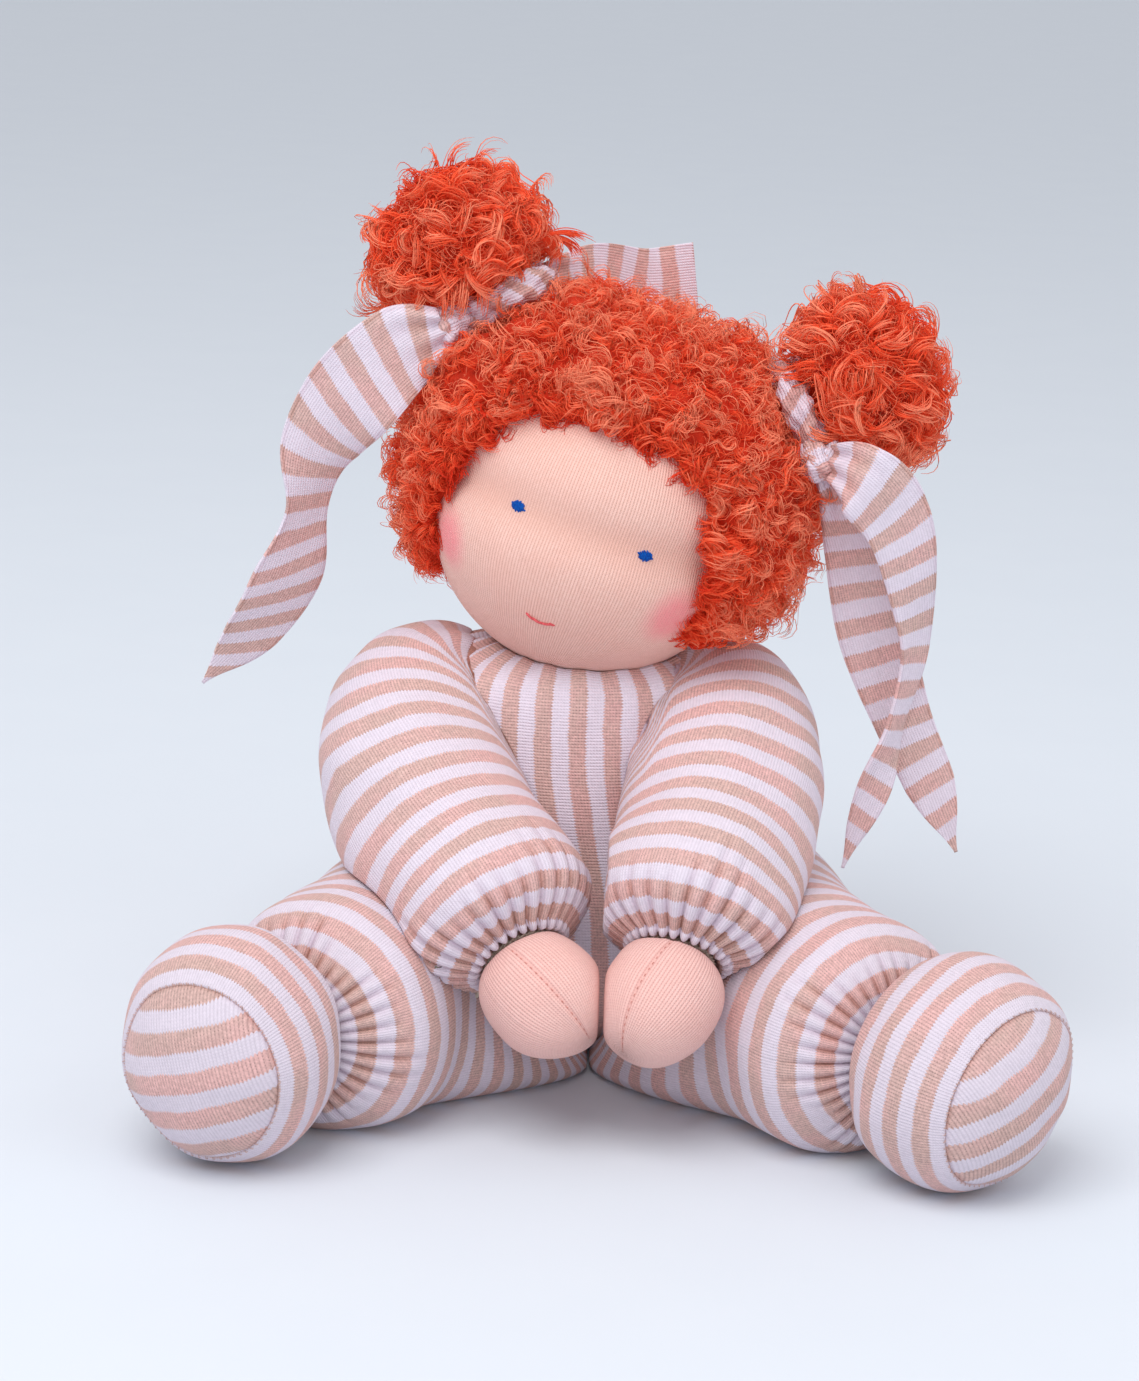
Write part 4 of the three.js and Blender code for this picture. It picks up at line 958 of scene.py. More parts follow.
def about_z(angle):
    turned = math.cos(angle)
    rise = math.sin(angle)
    return np.array([[turned, -rise, 0], [rise, turned, 0], [0, 0, 1]])


head_turn = about_y(lean) @ about_z(face_turn)


def on_head(azimuth, elevation, outwards=0.0):
    """A place on the head, by the angle round from the nose and the angle up, in degrees."""
    raised_by = np.asarray(elevation, float)
    aside = np.abs(np.asarray(azimuth, float))
    azimuth = np.radians(azimuth)
    groove = eye_line_depth * np.exp(-(((raised_by - eye_line) / 10) ** 2))
    cheek = 0.8 * np.exp(-(((raised_by + 22) / 20) ** 2) - ((aside - 34) / 26) ** 2)
    brow = 0.5 * np.exp(-(((raised_by - 26) / 16) ** 2) - (aside / 45) ** 2)
    radius = head_radius - groove + cheek + brow + outwards
    level_radius = radius * np.cos(np.radians(raised_by))
    place = np.stack([level_radius * np.sin(azimuth), -level_radius * np.cos(azimuth),
                      radius * np.sin(np.radians(raised_by)) + 0 * azimuth], axis=-1)
    return head_centre + place @ head_turn.T


rouge = (1.0, 0.31, 0.33, 1)
cheeks = [(on_head(-53, -20.5) * 0.001, cheek_size, 0.9, rouge),
          (on_head(44.5, -18.5) * 0.001, cheek_size, 0.85, rouge)]
face_jersey = skin_material("face_jersey", (1.0, 0.65, 0.57, 1), (0.80, 0.43, 0.34, 1), 1.1, cheeks)
elevations = np.degrees(np.arcsin(np.linspace(math.sin(math.radians(head_opening)), 1, 200)[:-1]))
elevations = np.sort(np.concatenate([elevations, np.linspace(80, 89.6, 12)]))
azimuths = np.linspace(-180, 180, head_sides, endpoint=False)
head_form = on_head(azimuths[None], elevations[:, None])
head_form = head_form + unit(head_form - head_centre) * (0.15 * lumps(head_form, 26, 71))[..., None]
rim_middle = head_form[0].mean(0)
opening = [unit(head_form[0] - rim_middle) * radius + rim_middle for radius in (12.2, 12.6)]
opening[0] = opening[0] + (head_centre - rim_middle) * 0.12
head_form = np.concatenate([np.array(opening), head_form])
# Painted shade: the eye-line groove is darkened towards the skin's shade colour.
tan = np.exp(-(((elevations[:, None] - eye_line) / 7) ** 2)) * 0.5 + 0 * azimuths[None]
tan = np.concatenate([np.zeros((2, head_sides)), tan])
head = make_piece("head_jersey", head_form, "head", face_jersey, ["head_cover"],
                  cloth_on(head_form, 340), tan, capped=False)
stuff_with_wool("head_filling", "head", head_form[2:], 1.2)
eye_thread_axis = head_turn @ np.array([0, 0, 1])
tie_with_thread("eye_line_tie", "eye_line_thread", "head", head_centre + eye_thread_axis * 1.7,
                eye_thread_axis, 48.9)

# Eyes and mouth: embroidery. Each eye is a small oval of satin stitches in blue cotton, caught down at its
# corners. The mouth is four small stitches in coral thread that curve up at the ends.
blue_thread = thread_material("blue_thread", (0.0, 0.10, 0.46, 1), (0.0, 0.05, 0.30, 1))
coral_thread = thread_material("coral_thread", (0.80, 0.14, 0.15, 1), (0.62, 0.08, 0.09, 1))


def face_stitches(name, node, material, stitches, radius):
    """Stitches on the face, each from one place to another by angles round and up, bowed outwards."""
    share = np.linspace(0, 1, 9)
    lines = []
    for (azimuth, elevation), (last_azimuth, last_elevation), lift in stitches:
        bow = lift * np.sin(share * math.pi) ** 0.6
        lines.append(on_head(azimuth + (last_azimuth - azimuth) * share,
                             elevation + (last_elevation - elevation) * share, -0.15 + bow))
    make_piece(name, cords(np.array(lines), radius, 7), "head", material, [node], capped=False)


for name, azimuth, height in (("right", -24.6, eye_line), ("left", 24.9, eye_line - 1.1)):
    satin = []
    for step in np.linspace(-1, 1, 8):
        half = 1.85 * math.sqrt(1 - (step * 0.84) ** 2)
        middle = height + 0.25 * math.sin(step * 9)
        satin.append(((azimuth + step * 2.05, middle - half), (azimuth + step * 2.15, middle + half), 0.75))
    satin.append(((azimuth - 3.0, height + 0.5), (azimuth - 1.9, height), 0.4))
    satin.append(((azimuth + 1.9, height - 0.1), (azimuth + 3.1, height - 0.5), 0.4))
    face_stitches(f"{name}_eye_stitches", f"{name}_eye", blue_thread, satin, 0.3)
lips = [((-10.2, -33.9), (-6.0, -35.7), 0.55), ((-7.0, -35.2), (-2.3, -36.0), 0.6),
        ((-3.2, -35.9), (1.0, -34.9), 0.55), ((0.2, -34.7), (2.2, -34.9), 0.35)]
face_stitches("mouth_stitches", "mouth", coral_thread, lips, 0.38)

# Wig: mohair curls sewn to a cap, so close that only curls show. They stand out fuzzily all over the head,
# and end round the face in an uneven hairline with one small tuft. Underneath is the dense pile, drawn darker
# as painted shade.
wig_inner = 54.9
wig_pile = 65.5
hair_drawn_up = 6.0
hairline_turns = [-180, -165, -150, -140, -130, -122, -115, -99, -87, -76, -64, -52, -38, -27, -18, -12, -8,
                  -3, 3, 17, 26, 39, 52, 62, 71, 80, 90, 105, 115, 122, 130, 140, 150, 165, 180]
hairline_reach = [118, 116, 110, 101, 88, 76, 67, 62, 62, 63.5, 63, 65, 65, 66, 68, 65, 60, 61, 64.5, 64,
                  65, 63, 61, 59, 57, 56, 57, 57, 57, 67, 86, 101, 111, 117, 118]
face_tilt = math.radians(22)
face_way = np.array([0, -math.cos(face_tilt), -math.sin(face_tilt)])
face_up = np.array([0, -math.sin(face_tilt), math.cos(face_tilt)])
lowest_pile = 146.5
wig_fibres = 8
wig_lock_count = 3500
front_lock_count = 1100
wig_curl_count = 6500
bun_ways = {}
for side in (-1, 1):
    bun_ways[side] = head_turn @ np.array([side * math.sin(math.pi / 4), 0, math.cos(math.pi / 4)])


def hair_material(name, light, mid, dark, patch):
    """Dyed mohair, with painted light: the mark on each fibre, from 0 deep in the pile to 1 at the tips, sets
    how light it is, so it carries painted shade deep in the pile and painted light at the tips, along with each
    fibre's own tone.
    """
    material, tree, shader = new_material(name)
    depth = add_node(tree, "ShaderNodeAttribute", attribute_name="mark").outputs["Fac"]
    raised = sum_up(tree, "SUBTRACT", depth, 0.25)
    varied = sum_up(tree, "MULTIPLY_ADD", fine_noise(tree, patch, 3.0), 0.5, raised)
    low = blend_colours(tree, ramp(tree, varied, 0.0, 0.5), dark, mid)
    colour = blend_colours(tree, ramp(tree, varied, 0.5, 1.0), low, light)
    tree.links.new(colour, shader.inputs["Base Color"])
    # Painted light: the hair glows a little in its own colour, standing in for light scattered through the
    # mohair.
    tree.links.new(colour, shader.inputs["Emission Color"])
    set_surface(shader, Emission_Strength=0.09, Roughness=0.6, Specular_IOR_Level=0.14)
    set_surface(shader, Sheen_Weight=0.25, Sheen_Roughness=0.5, Sheen_Tint=(1.0, 0.42, 0.26, 1))
    give_relief(tree, shader, 0.7, 0.0006, fine_noise(tree, 0.6, 3.0, 0.8))
    return material


mohair_fibres = hair_material(
    "mohair_fibres", (1.0, 0.27, 0.15, 1), (1.0, 0.105, 0.034, 1), (0.80, 0.032, 0.008, 1), 6)
# Painted shade: the pile is a darker copy of the fibres' mohair, standing for the shaded depth of the hair.
painted_shade_mohair_pile = hair_material(
    "painted_shade_mohair_pile", (0.80, 0.055, 0.018, 1), (0.58, 0.028, 0.008, 1), (0.34, 0.012, 0.004, 1), 3)


def hairline(turn):
    return np.interp(turn, hairline_turns, hairline_reach)


def from_face(turn, reach):
    """Directions on the head by the angle round the face, from the crown, and the angle out from its middle."""
    turn = np.radians(turn)
    reach = np.radians(reach)
    aside = np.cos(turn)[..., None] * face_up + np.sin(turn)[..., None] * [1, 0, 0]
    across = np.sin(reach)[..., None] * aside
    return (np.cos(reach)[..., None] * face_way + across) @ head_turn.T


def past_hairline(ways):
    """How many degrees each direction lies beyond the hairline; less than none is in the face."""
    local = ways @ head_turn
    reach = np.degrees(np.arccos(np.clip(local @ face_way, -1, 1)))
    return reach - hairline(np.degrees(np.arctan2(local[:, 0], local @ face_up)))


def along_nearer_bun(ways):
    return np.maximum(ways @ bun_ways[-1], ways @ bun_ways[1])


def pile_over(ways, past):
    """How high the pile stands over the cap.

    It is thin at the hairline, shorter at the nape, fuller behind and drawn up to each bun.
    """
    from_bun = np.degrees(np.arccos(np.clip(along_nearer_bun(ways), -1, 1)))
    full = wig_pile - wig_inner + hair_drawn_up * np.exp(-((from_bun - 22) / 10) ** 2)
    nape = 5 * smooth_step(-(ways @ head_turn)[..., 2], -0.1, 0.35)
    full = full - nape + 1.6 * lumps(ways * wig_pile, 13, 81)
    full = full + 6 * smooth_step((ways @ head_turn)[..., 1], 0.25, 0.7)
    return full * (1 - np.exp(-past / 5)) ** 0.7


def flowing(places, size, seed):
    """Directions that change slowly from place to place, so that neighbouring locks curl the same way."""
    return np.stack([lumps(places, size, seed + k) for k in range(3)], axis=-1)


turns = np.linspace(-180, 180, 288, endpoint=False)
edge = hairline(turns)
rise = np.concatenate([np.linspace(0, 0.12, 34)[:-1], np.linspace(0.12, 0.995, 120)])[:, None]
reaches = edge[None] + (180 - edge[None]) * rise
ways = from_face(turns[None] + 0 * rise, reaches)
beyond_edge = reaches - edge[None]
pile_height = pile_over(ways, beyond_edge)
pile = head_centre + ways * (wig_inner + pile_height)[..., None]
tufted = np.abs(lumps(pile, 5.5, 82)) * 1.3
pile += ways * (tufted * np.clip(beyond_edge / 5, 0, 1))[..., None]
pile[0] = head_centre + ways[0] * 49
pile[..., 2] = np.maximum(pile[..., 2], lowest_pile)
# The pile's mark is its own uneven tone, with the tufts' tops painted lighter as painted light.
pile_tone_and_painted_light = 0.42 + 0.22 * lumps(pile, 4, 83) + 0.1 * tufted
wig = make_piece("wig_pile", pile, "head", painted_shade_mohair_pile, ["wig"], None, pile_tone_and_painted_light, capped=False)


def scattered(count, seed):
    """Directions spread evenly over a ball, a little disordered."""
    chance = np.random.default_rng(seed)
    order = np.arange(count) + 0.5
    height = 1 - 2 * order / count
    turn = order * math.pi * (3 - math.sqrt(5))
    flat = np.sqrt(1 - height**2)
    ways = np.stack([flat * np.cos(turn), flat * np.sin(turn), height], axis=-1)
    return unit(ways + chance.normal(size=ways.shape) * 0.8 / math.sqrt(count))


def curls(roots, ways, loop_radius, turns_each, stretch, points, seed, flatness=0.5):
    """Ring curls that start at roots: small coils whose loops stand out of the pile or lie on it."""
    chance = np.random.default_rng(seed)
    count = len(roots)
    axis = np.cross(ways, chance.normal(size=(count, 3)))
    axis = unit(axis + ways * chance.normal(size=(count, 1)) * flatness)
    first = unit(np.cross(axis, chance.normal(size=(count, 3))))
    second = np.cross(axis, first)
    share = np.linspace(0, 1, points)[None, :, None]
    swirl = share * (turns_each * 2 * math.pi)[:, None, None] * np.sign(chance.normal(size=(count, 1, 1)))
    size = loop_radius[:, None, None] * (1.1 - 0.45 * share)
    loops = first[:, None] * np.cos(swirl) * size + second[:, None] * np.sin(swirl) * size
    return roots[:, None] + loops + axis[:, None] * stretch[:, None, None] * (share - 0.5)


def plant_hair(name, lines, thickness, shade):
    """Hair as thin tapering fibres, in pieces small enough to handle."""
    taper = 1 - 0.75 * np.linspace(0, 1, lines.shape[1])[None] ** 3
    most = 190000 // (6 * (lines.shape[1] - 1))
    for start in range(0, len(lines), most):
        batch = slice(start, start + most)
        fibres = cords(lines[batch], thickness[batch, None] * taper, 3)
        mark = np.repeat(shade[batch][..., None], 3, axis=2)
        numbered = f"{name}_{start // most + 1}"
        make_piece(numbered, fibres, "head", mohair_fibres, mark=mark, capped=False)


def locks(roots, ways, sideways, length, bend, coil, turns_each, fibres, points, spread, seed):
    """Locks of hair: fibres side by side that leave the pile, lie over and wind like a loose spring."""
    chance = np.random.default_rng(seed)
    count = len(roots)
    over = unit(np.cross(np.cross(ways, sideways), ways))
    beside = np.cross(ways, over)
    share = np.linspace(0, 1, points)[None, None, :, None]
    each = chance.normal(size=(4, count, fibres, 1, 1))
    bend, coil, turns_each, length = (row[:, None, None, None] for row in (bend, coil, turns_each, length))
    angle = bend * share
    reach = length * (1 + 0.12 * each[0]) / bend
    ways, over, beside = (row[:, None, None] for row in (ways, over, beside))
    normal = over * np.cos(angle) - ways * np.sin(angle)
    path = ways * np.sin(angle) * reach + over * (1 - np.cos(angle)) * reach
    start = (6 * lumps(roots, 11, seed) + chance.uniform(0, 1.5, count))[:, None, None, None] + 0.35 * each[1]
    handed = np.where(lumps(roots, 18, seed + 1) > 0, 1, -1)[:, None, None, None]
    swirl = start + share * turns_each * once_round * handed
    size = coil * (1 + 0.25 * each[2]) * np.clip(share * 4, 0, 1) * (1.1 - 0.3 * share)
    path = path + normal * np.cos(swirl) * size + beside * np.sin(swirl) * size
    fan = spread * (0.4 + 0.8 * share)
    path = path + (normal * each[3] + beside * each[2]) * fan
    return (roots[:, None, None] + path).reshape(-1, points, 3)


density = 1
ways = scattered(int(wig_lock_count * density), 91)
past = past_hairline(ways)
shown = (past > 0.2) & ~(along_nearer_bun(ways) > math.cos(math.radians(17)))
ways = ways[shown]
past = past[shown]
chance = np.random.default_rng(92)
depth_share = np.ones(len(ways))
front = int(front_lock_count * density)
in_tuft = np.arange(front) < 0.05 * front
turn = np.where(in_tuft, chance.normal(-8, 2.2, front), chance.uniform(-126, 124, front))
front_past = 0.2 + 9 * chance.uniform(0, 1, front) ** 1.4
ways = np.concatenate([ways, from_face(turn, hairline(turn) + front_past)])
past = np.concatenate([past, front_past])
depth_share = np.concatenate([depth_share, chance.uniform(0.15, 1, front)])
count = len(ways)
height = pile_over(ways, past) * depth_share
roots = head_centre + ways * (wig_inner + np.maximum(height - 1.2, -0.5))[:, None]
to_face = unit(face_way @ head_turn.T - ways * (ways @ (face_way @ head_turn.T))[:, None])
near_face = np.exp(-past / 7)[:, None]
sideways = flowing(roots, 15, 97) * 2.4 + chance.normal(size=(count, 3)) * 0.4 + to_face * near_face * 0.7
leaving = ways + to_face * near_face * chance.uniform(0.2, 1.1, (count, 1))
leaving = unit(leaving + flowing(roots, 12, 101) * 0.9)
lines = locks(roots, leaving, sideways, chance.uniform(12, 20, count) * (1 - 0.35 * near_face[:, 0]),
              chance.uniform(2.2, 4.0, count), chance.uniform(1.1, 2.3, count), chance.uniform(1.0, 2.2, count),
              wig_fibres, 13, 0.62, 93)
above = lines[:, :, 2].min(axis=1) > lowest_pile - 1
out = np.linalg.norm(lines - head_centre, axis=2)
lines = head_centre + (lines - head_centre) * (np.maximum(out, head_radius + 0.5) / out)[..., None]
tone = np.repeat(chance.normal(size=count) * 0.1 + lumps(roots, 8, 98) * 0.14, wig_fibres)
tone = tone + chance.normal(size=count * wig_fibres) * 0.12
# Painted shade and light: fibres deep in the pile are darker and those that stand out are lighter, over their
# own uneven tone.
surface = np.repeat(wig_inner + height, wig_fibres)[:, None]
shade = np.clip(0.34 + tone[:, None] + (out - surface - 1.0) * 0.11, 0, 1.2)
plant_hair("wig_locks", lines[above], chance.uniform(0.12, 0.22, above.sum()), shade[above])
ways = scattered(int(wig_curl_count * density), 94)
past = past_hairline(ways)
ways = ways[past > 1]
past = past[past > 1]
height = pile_over(ways, past) + chance.uniform(0.5, 4.0, len(ways))
roots = head_centre + ways * (wig_inner + height)[:, None]
roots = roots[roots[:, 2] > lowest_pile + 1]
count = len(roots)
lines = curls(roots, unit(roots - head_centre), chance.uniform(1.1, 3.0, count),
              chance.uniform(0.7, 1.8, count), chance.uniform(1.0, 6.0, count), 16, 95, 0.9)
out = np.linalg.norm(lines - head_centre, axis=2)
# Painted light: curls that stand further out are lighter, over their own uneven tone.
shade = np.clip(0.8 + chance.normal(size=(count, 1)) * 0.2 + (out - wig_pile - 3) * 0.05, 0, 1.2)
plant_hair("wig_curls", lines, chance.uniform(0.08, 0.17, count), shade)

# Buns: the longer mohair of the two sides, bunched up above the ribbons. It falls in curled locks,
# each a bundle of fibres, over a dense ball drawn dark as painted shade, with loose fibres and one stray lock
# on the right bun.
bun_half_width = 31.5
bun_half_height = 25.5
bun_reach = 97
bun_fibres = 12
bun_lock_count = 520
bun_wisp_count = 1500
bun_sides = 150
bun_pushed = {-1: np.array([-3.0, 0, -1.6]), 1: np.array([-0.7, 0, 1.3])}


def over_bun(spots, way, less_wide, less_high):
    """Places on an oval a little smaller than a bun, from directions out of its middle."""
    lengthwise = (spots @ way)[:, None] * way
    return (spots - lengthwise) * (bun_half_width - less_wide) + lengthwise * (bun_half_height - less_high)


for side, name in both_sides:
    way = bun_ways[side]
    centre = head_centre + way * bun_reach + bun_pushed[side]
    share = np.linspace(-0.62, 0.995, 90)
    sideways = unit(np.cross(way, [0, 1, 0]))
    ball_size = np.sqrt(1 - share**2)
    ball_line = centre + way * (share * (bun_half_height - 7.5))[:, None]
    ball = rings_along(ball_line, np.tile(way, (90, 1)), sideways, (bun_half_width - 8) * ball_size,
                       (bun_half_width - 8) * ball_size, bun_sides)
    stalk_line = head_centre + way * np.linspace(71.5, 83, 14)[:, None]
    stalk = rings_along(stalk_line, np.tile(way, (14, 1)), sideways, 9.4, 9.4, bun_sides)
    form = np.concatenate([stalk, ball])
    rough = lumps(form, 9, 110 + side) * 1.2 + np.abs(lumps(form, 4.5, 112 + side)) * 1.8
    calm = np.concatenate([np.full(14, 0.15), np.ones(90)])[:, None]
    form += outward(form) * (rough * calm)[..., None]
    bun = make_piece(f"{name}_bun_pile", form, "head", painted_shade_mohair_pile, [f"{name}_bun"],
                     mark=0.35 + 0.3 * lumps(form, 4, 114))
    chance = np.random.default_rng(120 + side)
    spots = scattered(int(bun_lock_count * density), 122 + side)
    spots = spots[spots @ way > -0.68]
    roots = centre + over_bun(spots, way, 8.5, 8) + chance.normal(size=spots.shape) * 0.7
    count = len(roots)
    lean_over = unit(spots + flowing(roots, 14, 135) * 0.8 + chance.normal(size=spots.shape) * 0.2)
    sideways = flowing(roots, 17, 140) * 2.4 + chance.normal(size=spots.shape) * 0.35
    lines = locks(roots, lean_over, sideways, chance.uniform(13, 21, count),
                  chance.uniform(2.4, 4.0, count), chance.uniform(1.4, 2.9, count),
                  chance.uniform(0.6, 1.5, count), bun_fibres, 14, 0.7, 124 + side)
    tone = np.repeat(chance.normal(size=count) * 0.12 + lumps(roots, 9, 145) * 0.12, bun_fibres)
    tone = tone + chance.normal(size=len(lines)) * 0.12
    out = np.linalg.norm(lines - centre, axis=2)
    # Painted shade and light: fibres near the ball are darker and those further out lighter, over their own
    # uneven tone.
    shade = np.clip(0.32 + tone[:, None] + (out - 25) * 0.075, 0, 1.15)
    plant_hair(f"{name}_bun_locks", lines, chance.uniform(0.15, 0.28, len(lines)), shade)
    spots = scattered(int(bun_wisp_count * density), 130 + side)
    spots = spots[spots @ way > -0.7]
    roots = centre + over_bun(spots, way, 4, 4)
    count = len(roots)
    lines = curls(roots, spots, chance.uniform(1.4, 3.2, count), chance.uniform(0.6, 1.4, count),
                  chance.uniform(1, 6, count), 14, 132 + side, 0.6)
    shade = np.clip(0.8 + chance.normal(size=(count, 1)) * 0.15 + 0 * lines[..., 0], 0, 1.2)
    plant_hair(f"{name}_bun_wisps", lines, chance.uniform(0.08, 0.15, count), shade)
stray_root = head_centre + bun_ways[-1] * bun_reach + np.array([24.0, -4, 3])
stray_ways = unit(np.array([[0.95, -0.1, 0.32], [1, -0.05, 0.02], [0.9, 0, -0.3]]))
stray_falls = np.array([[0, 0, -1.0], [0, 0.2, -1], [0, 0, -1]])
stray = locks(np.repeat([stray_root], 3, axis=0), stray_ways, stray_falls, np.array([14.0, 13, 9]),
              np.array([0.7, 0.9, 1.4]), np.array([0.8, 1.0, 1.2]), np.array([0.5, 0.6, 0.7]),
              24, 13, 0.75, 140)
plant_hair("right_bun_stray_lock", stray, np.full(len(stray), 0.24), np.full(stray.shape[:2], 0.6))

# Bow ribbons: strips of the jersey sewn double, turned and pressed, wound once round the foot of each bun.
# The winding is pulled tight, so it crumples like a rope, and it is knotted in front.
ribbon_width = 24
wrap_reach = 76
wrap_radius = 16.2
wrap_jersey = jersey_material("wrap_jersey", 8.2, 0.55, 0.0, 0.9, 0.8)
knot_at = {}
for side, name in both_sides:
    way = bun_ways[side]
    centre = head_centre + way * wrap_reach
    turn_bun = about_y(side * math.pi / 4)
    knot_at[side] = head_centre + head_turn @ turn_bun @ np.array([side * 13, -18, wrap_reach])
    turn = np.linspace(0, 2 * math.pi, 241)
    first = head_turn @ turn_bun @ np.array([1.0, 0, 0])
    second = np.cross(way, first)
    circle = first * np.cos(turn)[:, None] + second * np.sin(turn)[:, None]
    ring_line = centre + circle * wrap_radius
    section = full_turn(60)
    scrunch = 0.55 * np.abs(np.sin(turn[:, None] * 6.5 + 0.5 * np.sin(turn[:, None] * 3))) ** 0.7
    twisted = 0.75 * np.cos(3 * section[None] + 5 * turn[:, None])
    twisted = twisted + 0.4 * np.cos(7 * section[None] - 9 * turn[:, None])
    tube = 4.5 + scrunch + twisted * 0.75 + 0.3 * np.sin(21 * turn[:, None] + 2 * section[None])
    form = ring_line[:, None] + circle[:, None] * (np.cos(section)[None] * tube)[..., None] \
        + way * (np.sin(section)[None] * tube)[..., None]
    across = np.linspace(0, 26, 61)[None] + 0 * turn[:, None]
    along = turn[:, None] * 15.3 + 2.6 * np.sin(np.linspace(0, 2 * math.pi, 61))[None]
    # Painted shade down in the wrap's twisted folds.
    crease_painted_shade = np.clip(0.5 - twisted * 0.5, 0, 1) * 0.3
    wrap = make_piece(f"{name}_ribbon_wrap", form, "head", wrap_jersey, [f"{name}_bow_wrap"],
                      np.stack([across, along], axis=-1), crease_painted_shade, capped=False)
    knot = knot_at[side]
    out = unit(knot - head_centre)
    loops = []
    loop_cloth = []
    sideways = unit(np.cross(out, way))
    wound = ((sideways, 4.5, 3.6, 0.0), (way, 4.3, 3.0, 0.4), (unit(sideways + way), 5.0, 2.6, 1.0))
    for axis_of, reach_of, fat, shift in wound:
        u = unit(np.cross(axis_of, out))
        v = np.cross(axis_of, u)
        around_loop = np.linspace(0, 2 * math.pi, 81)
        middle = knot + u * (np.cos(around_loop) * reach_of)[:, None]
        middle = middle + v * (np.sin(around_loop) * reach_of)[:, None]
        hub = unit(middle - knot)
        rim_section = full_turn(36)
        tube = fat * (1 + 0.12 * np.cos(4 * rim_section[None] + 3 * around_loop[:, None] + shift)
                      + 0.1 * np.cos(9 * around_loop[:, None]))
        loops.append(middle[:, None] + hub[:, None] * (np.cos(rim_section)[None] * tube)[..., None]
                     + axis_of * (np.sin(rim_section)[None] * tube * 1.25)[..., None])
        along_loop = around_loop * 4.6 + shift * 5
        loop_cloth.append(np.stack(np.meshgrid(np.linspace(0, 20, 37), along_loop), axis=-1))
    knot_piece = make_piece(f"{name}_ribbon_knot", np.array(loops), "head", wrap_jersey,
                            [f"{name}_bow_knot"], np.array(loop_cloth), np.zeros((3, 81, 36)), capped=False)

# Ribbon ends: three tails that hang from the knots and twist, each cut to a point. One short end with a square
# hem stands up behind the right bun. Each is two layers thick, with a seam along both edges.
# Painted shade: the ribbon ends' jersey is a darker copy of the body's.
ribbon_jersey = jersey_material("ribbon_jersey", 11.6, 0.5, 0.0, 0.9, tone=0.95)


def ribbon_end(name, node, rides_on, start, places, widths, facings, slants, phase, pointed):
    """A twisting double band along a curve, puffed between stitched edges and gathered where it starts."""
    line = smooth_line(np.array(places, float) + start)
    width = smooth_line([(w, 0, 0) for w in widths])[:, 0]
    facing = smooth_line(facings)
    slant = smooth_line([(s, 0, 0) for s in slants])[:, 0]
    count = 220
    reach = np.concatenate([[0], np.cumsum(np.linalg.norm(np.diff(line, axis=0), axis=1))])
    at = np.linspace(0, reach[-1], count)
    centre, ahead, length = along_line(line, at)
    width = np.interp(at, reach, width) * ribbon_width
    slant = np.interp(at, reach, slant)
    across = np.stack([np.interp(at, reach, facing[:, k]) for k in range(3)], axis=-1)
    across = unit(across - ahead * (across * ahead).sum(1, keepdims=True))
    face = np.cross(ahead, across)
    if pointed:
        width = np.maximum(width * (1 - smooth_step(at, length - 15, length + 2) * 0.35), 1.2)
    section = full_turn(56)
    flat_across = np.sign(np.cos(section)) * np.abs(np.cos(section)) ** 0.75
    thick = 0.42 + 0.5 * np.abs(np.sin(section)) ** 0.7
    ripple = 0.55 * np.sin(at[:, None] / 7.5 + 3 * flat_across[None]) * flat_across[None] ** 2 \
        + 0.5 * np.sin(at[:, None] / 16 + 1.3)
    gathers = np.sin(8 * flat_across[None] + 0.1 * at[:, None]) * np.exp(-(at[:, None] / 13) ** 2)
    calm = np.clip(np.minimum(at, length - at) / 12, 0, 1)[:, None]
    form = centre[:, None] + across[:, None] * (flat_across[None] * width[:, None] / 2)[..., None] \
        + face[:, None] * (np.sign(np.sin(section))[None] * thick[None] * np.minimum(1, width[:, None] / 8)
                           + ripple * calm + 1.1 * gathers)[..., None]
    sign_closed = np.concatenate([flat_across, flat_across[:1]])
    aside = sign_closed[None] * width[:, None] / 2
    cloth = np.stack([aside + 40, at[:, None] + phase + slant[:, None] * aside], axis=-1)
    # The stitched edges are darkened along their seams, and the folds of the gathers get painted shade.
    seam = np.exp(-((np.abs(flat_across) - 0.93) / 0.035) ** 2)[None] * 0.55
    painted_crease_shade = np.clip(-gathers, 0, 1) * 0.6
    mark = np.maximum(seam, painted_crease_shade)
    piece = make_piece(name, form, rides_on, ribbon_jersey, [node], cloth, mark)


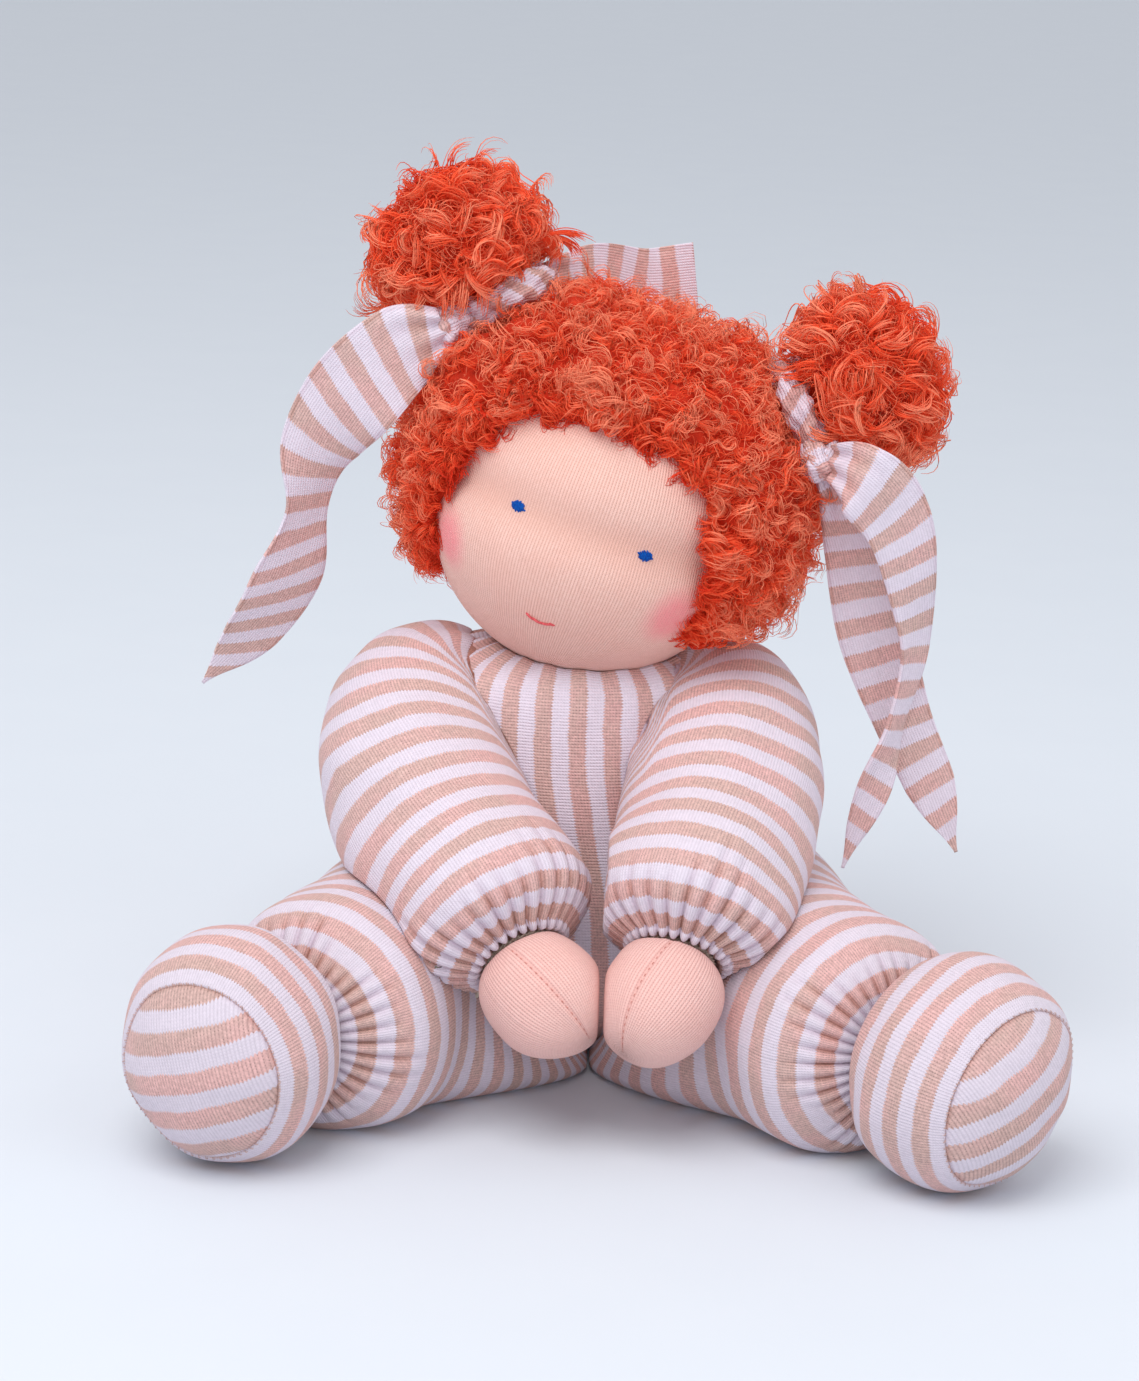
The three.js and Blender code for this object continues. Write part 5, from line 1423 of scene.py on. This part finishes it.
ribbon_end(
    "right_ribbon_long_tail", "right_bow_long_tail", "right_bow_tail", knot_at[-1],
    [(-2, -6, 0), (-14, -7, -6), (-29, -8, -21), (-41, -5, -40), (-46, 0, -62), (-52, 4, -86), (-64, 7, -106),
     (-80, 7, -124)],
    [0.55, 1.15, 1.3, 1.1, 0.7, 1.08, 0.85, 0.06],
    [(0.5, 0.2, -0.9), (0.55, 0.1, -0.85), (0.6, 0, -0.75), (0.8, 0.3, -0.5), (0.8, 0.7, 0), (0.9, 0.6, -0.15),
     (0.85, 0.5, -0.3), (0.8, 0.4, -0.5)],
    [-0.2, -0.25, -0.3, -0.3, 0.1, 0.6, 0.8, 0.8], 3.0, True)
ribbon_end(
    "left_ribbon_front_tail", "left_bow_front_tail", "left_bow_tails", knot_at[1],
    [(3, -7, -1), (12, -17, -3), (23, -15, -15), (30, -11, -36), (33, -4, -59), (29, -2, -85), (23, -3, -107),
     (14, -3, -136)],
    [0.6, 0.95, 0.95, 0.72, 0.5, 0.42, 0.5, 0.06],
    [(0.2, -0.3, 0.9), (0.5, -0.1, 0.9), (0.9, 0, 0.5), (1, 0.2, 0.2), (0.8, 0.6, 0), (0.6, 0.8, 0),
     (1, 0.3, -0.2), (1, 0.1, -0.2)],
    [0, 0.1, 0.3, 0.2, 0, 0, -0.3, -0.4], 0.0, True)
ribbon_end(
    "left_ribbon_back_tail", "left_bow_back_tail", "left_bow_tails", knot_at[1],
    [(3, -2, -6), (12, 4, -28), (21, 7, -59), (32, 8, -88), (42, 7, -109), (52, 6, -132)],
    [0.45, 0.85, 1.0, 0.8, 0.7, 0.06],
    [(1, -0.4, 0), (1, -0.4, 0), (1, 0, 0.3), (1, 0, 0.4), (1, 0, 0.3), (1, 0, 0.3)],
    [0, 0, 0, 0, 0.2, 0.3], 5.0, True)
ribbon_end(
    "right_ribbon_back_end", "right_bow_back_end", "head", head_centre + bun_ways[-1] * wrap_reach,
    [(15, 5, 5), (33, 25, 5), (50, 37, 1), (66, 38, 3)],
    [0.6, 0.95, 1.05, 1.1],
    [(0, 0.1, 1), (0, 0.15, 1), (0.1, 0.1, 1), (0.15, 0, 1)],
    [0, 0, 0, 0], 2.0, False)

# Studio: a wide flat pale floor, one large soft lamp up to the left, a weak one on the right and an even
# white room. Seen from low down, the floor's far edge is a line. From below, the floor can be seen through.
floor_half_width = 12
floor_material, tree, shader = new_material("studio_floor")
paper = blend_colours(tree, fine_noise(tree, 60, 2.0), (0.69, 0.735, 0.80, 1), (0.71, 0.755, 0.815, 1))
tree.links.new(paper, shader.inputs["Base Color"])
set_surface(shader, Roughness=0.9)
underside = tree.nodes.new("ShaderNodeNewGeometry").outputs["Backfacing"]
see_through = tree.nodes.new("ShaderNodeBsdfTransparent").outputs[0]
both = add_node(tree, "ShaderNodeMixShader", [(0, underside), (1, shader.outputs[0]), (2, see_through)])
tree.links.new(both.outputs[0], tree.nodes["Material Output"].inputs[0])
corners = [(x * floor_half_width, y * floor_half_width, 0) for x, y in ((-1, -1), (1, -1), (1, 1), (-1, 1))]
floor_mesh = bpy.data.meshes.new("studio_floor")
floor_mesh.from_pydata(corners, [], [(0, 1, 2, 3)])
floor_mesh.materials.append(floor_material)
floor = bpy.data.objects.new("studio_floor", floor_mesh)
bpy.context.scene.collection.objects.link(floor)
lamps = (("soft_lamp", (-0.5, -1.0, 1.9), 1.5, 27), ("fill_lamp", (1.3, -1.2, 1.3), 1.4, 4))
for label, place, size, power in lamps:
    lamp_data = bpy.data.lights.new(label, "AREA")
    lamp_data.size = size
    lamp_data.energy = power
    lamp = bpy.data.objects.new(label, lamp_data)
    lamp.location = place
    lamp.rotation_euler = (Vector((0, -0.02, 0.13)) - Vector(place)).to_track_quat("-Z", "Y").to_euler()
    bpy.context.scene.collection.objects.link(lamp)
room = bpy.data.worlds.new("white_room")
room.use_nodes = True
tree = room.node_tree
seen = add_node(tree, "ShaderNodeBackground", [("Color", (0.80, 0.86, 0.93, 1)), ("Strength", 1.0)])
lit = tree.nodes["Background"]
lit.inputs["Color"].default_value = (0.96, 0.97, 1.0, 1)
lit.inputs["Strength"].default_value = 0.75
rays = tree.nodes.new("ShaderNodeLightPath").outputs["Is Camera Ray"]
choice = add_node(tree, "ShaderNodeMixShader", [(0, rays), (1, lit.outputs[0]), (2, seen.outputs[0])])
tree.links.new(choice.outputs[0], tree.nodes["World Output"].inputs[0])
bpy.context.scene.world = room
bpy.context.scene.view_settings.view_transform = "Standard"
